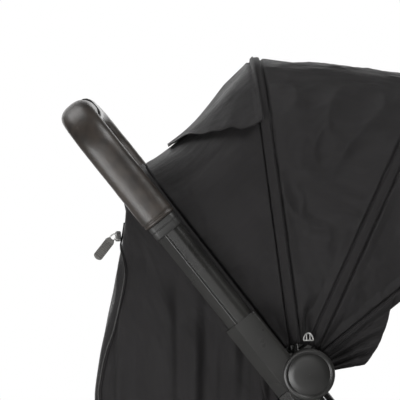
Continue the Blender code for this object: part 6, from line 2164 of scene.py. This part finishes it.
@dataclass
class Studio:
    """The pale floor, the soft lights and the camera."""

    camera_at: tuple[float, float, float] = (-0.173, -3.55, 0.933)
    look_at: tuple[float, float, float] = (-0.185, -0.21, 0.874)
    lens: float = 250.5
    ambient: float = 0.12
    sensor: float = 36.0
    clip_end: float = 60.0
    floor_half: float = 5.0
    floor_drop: float = 0.0005

    def light(self, name: str, place: Vector, aim: Vector, size: tuple[float, float], power: float) -> None:
        """Hangs a soft rectangular light.

        Args:
            name: The light's name.
            place: Where it hangs.
            aim: What it points at.
            size: Its width and height.
            power: Its power in watts.
        """
        data = bpy.data.lights.new(name, "AREA")
        data.shape = "RECTANGLE"
        data.size, data.size_y = size
        data.energy = power
        lamp = bpy.data.objects.new(name, data)
        lamp.location = place
        lamp.visible_camera = False
        lamp.rotation_euler = (aim - place).to_track_quat("-Z", "Y").to_euler()
        bpy.context.scene.collection.objects.link(lamp)

    def floor(self) -> None:
        """Lays the plain pale floor, which glows more for the camera the farther it lies. Its colour is painted darker
        in reflections than the camera sees it, and it gives a faint painted glow to every other ray.
        """
        work = bmesh.new()
        bmesh.ops.create_grid(work, x_segments=2, y_segments=2, size=self.floor_half)
        bmesh.ops.translate(work, verts=work.verts, vec=(0, 0, -self.floor_drop))
        floor = Mesher.finish(work, "floor")
        made = bpy.data.materials.new("pale_floor")
        made.use_nodes = True
        shader = made.node_tree.nodes["Principled BSDF"]
        shader.inputs["Roughness"].default_value = 0.7
        shader.inputs["Emission Strength"].default_value = 1.0
        bench = Bench(made.node_tree)
        rays = bench.node("ShaderNodeLightPath", {}).outputs
        # Painted reflection: the floor shows darker in glossy reflections than it does to the camera.
        bench.feed(shader.inputs["Base Color"], bench.tint(rays["Is Glossy Ray"], (0.86,) * 3, (0.55,) * 3))
        spot = bench.node("ShaderNodeTexCoord", {}).outputs["Object"]
        far = bench.node("ShaderNodeVectorMath", {0: spot}, operation="LENGTH").outputs["Value"]
        faded = bench.span(far, 0.8, 2.4, 0.50, 1.0)
        # Painted glow: full for the camera and faded towards the middle, faint for every other ray.
        glow = bench.sum("MULTIPLY", faded, bench.span(rays["Is Camera Ray"], 0.0, 1.0, 0.05, 1.0))
        bench.feed(shader.inputs["Emission Color"], bench.tint(glow, (0.0,) * 3, (1.0,) * 3))
        floor.data.materials.append(made)
        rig.stage(floor)

    def build(self) -> None:
        """Sets up the world, the floor, the lights and the camera."""
        scene = bpy.context.scene
        scene.view_settings.view_transform = "Standard"
        world = bpy.data.worlds.new("studio")
        world.use_nodes = True
        bench = Bench(world.node_tree)
        background = world.node_tree.nodes["Background"]
        background.inputs["Color"].default_value = (1.0, 1.0, 1.0, 1.0)
        seen = bench.node("ShaderNodeLightPath", {}).outputs["Is Camera Ray"]
        bench.feed(background.inputs["Strength"], bench.span(seen, 0.0, 1.0, self.ambient, 1.0))
        scene.world = world
        self.floor()
        for name, place, aim, size, power in (
            ("key", (0.85, -1.1, 2.8), (-0.15, 0.0, 0.75), (1.1, 0.9), 34.0),
            ("front", (-0.3, -2.8, 1.2), (-0.15, 0.0, 0.75), (1.2, 1.2), 6.5),
            ("low_left", (-1.06, -1.43, 0.17), (-0.20, -0.20, 0.84), (1.25, 1.25), 35.0),
            ("backdrop", (-0.1, 2.4, 1.0), (-0.1, 0.0, 0.9), (3.4, 2.4), 40.0),
            ("top_left", (-1.5, 0.5, 2.3), (-0.15, 0.0, 0.75), (0.9, 1.2), 14.0),
            ("seat", (2.5, 0.2, 1.0), (0.0, 0.0, 0.6), (1.4, 1.2), 9.0),
        ):
            self.light(name, Vector(place), Vector(aim), size, power)
        camera = bpy.data.objects.new("camera", bpy.data.cameras.new("camera"))
        camera.data.lens = self.lens
        camera.data.sensor_width = self.sensor
        camera.data.clip_end = self.clip_end
        camera.location = self.camera_at
        sight = Vector(self.look_at) - Vector(self.camera_at)
        camera.rotation_euler = sight.to_track_quat("-Z", "Y").to_euler()
        scene.collection.objects.link(camera)
        scene.camera = camera


def corners_of(box: tuple[Vector, Vector]) -> list[list[float]]:
    """A box's two corners as plain lists."""
    return [list(corner) for corner in box]


def main() -> None:
    """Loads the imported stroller, builds every sub-assembly and notes the two sizes."""
    logging.basicConfig(level=logging.INFO, format="%(name)s: %(message)s")
    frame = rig.load()
    solids = corners_of(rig.bounds())
    stance = Stance()
    surround = SeatSurround(stance)
    assemblies = (
        Trim(frame, stance), Handle(stance), FoldHub(stance), Wheels(), Basket(stance), Pads(stance), Harness(stance),
        surround, Zips(surround), Canopy(stance),
    )
    for assembly in assemblies:
        for piece in assembly.build():
            LOG.info("%s: %s, %d faces", type(assembly).__name__, piece.name, len(piece.data.polygons))
    Studio().build()
    dressed = corners_of(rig.bounds())
    with open(SIZE_FILE, "w", encoding="utf-8") as sizes:
        json.dump({"cad": solids, "visual": dressed}, sizes, indent=1)


if __name__ == "__main__":
    main()
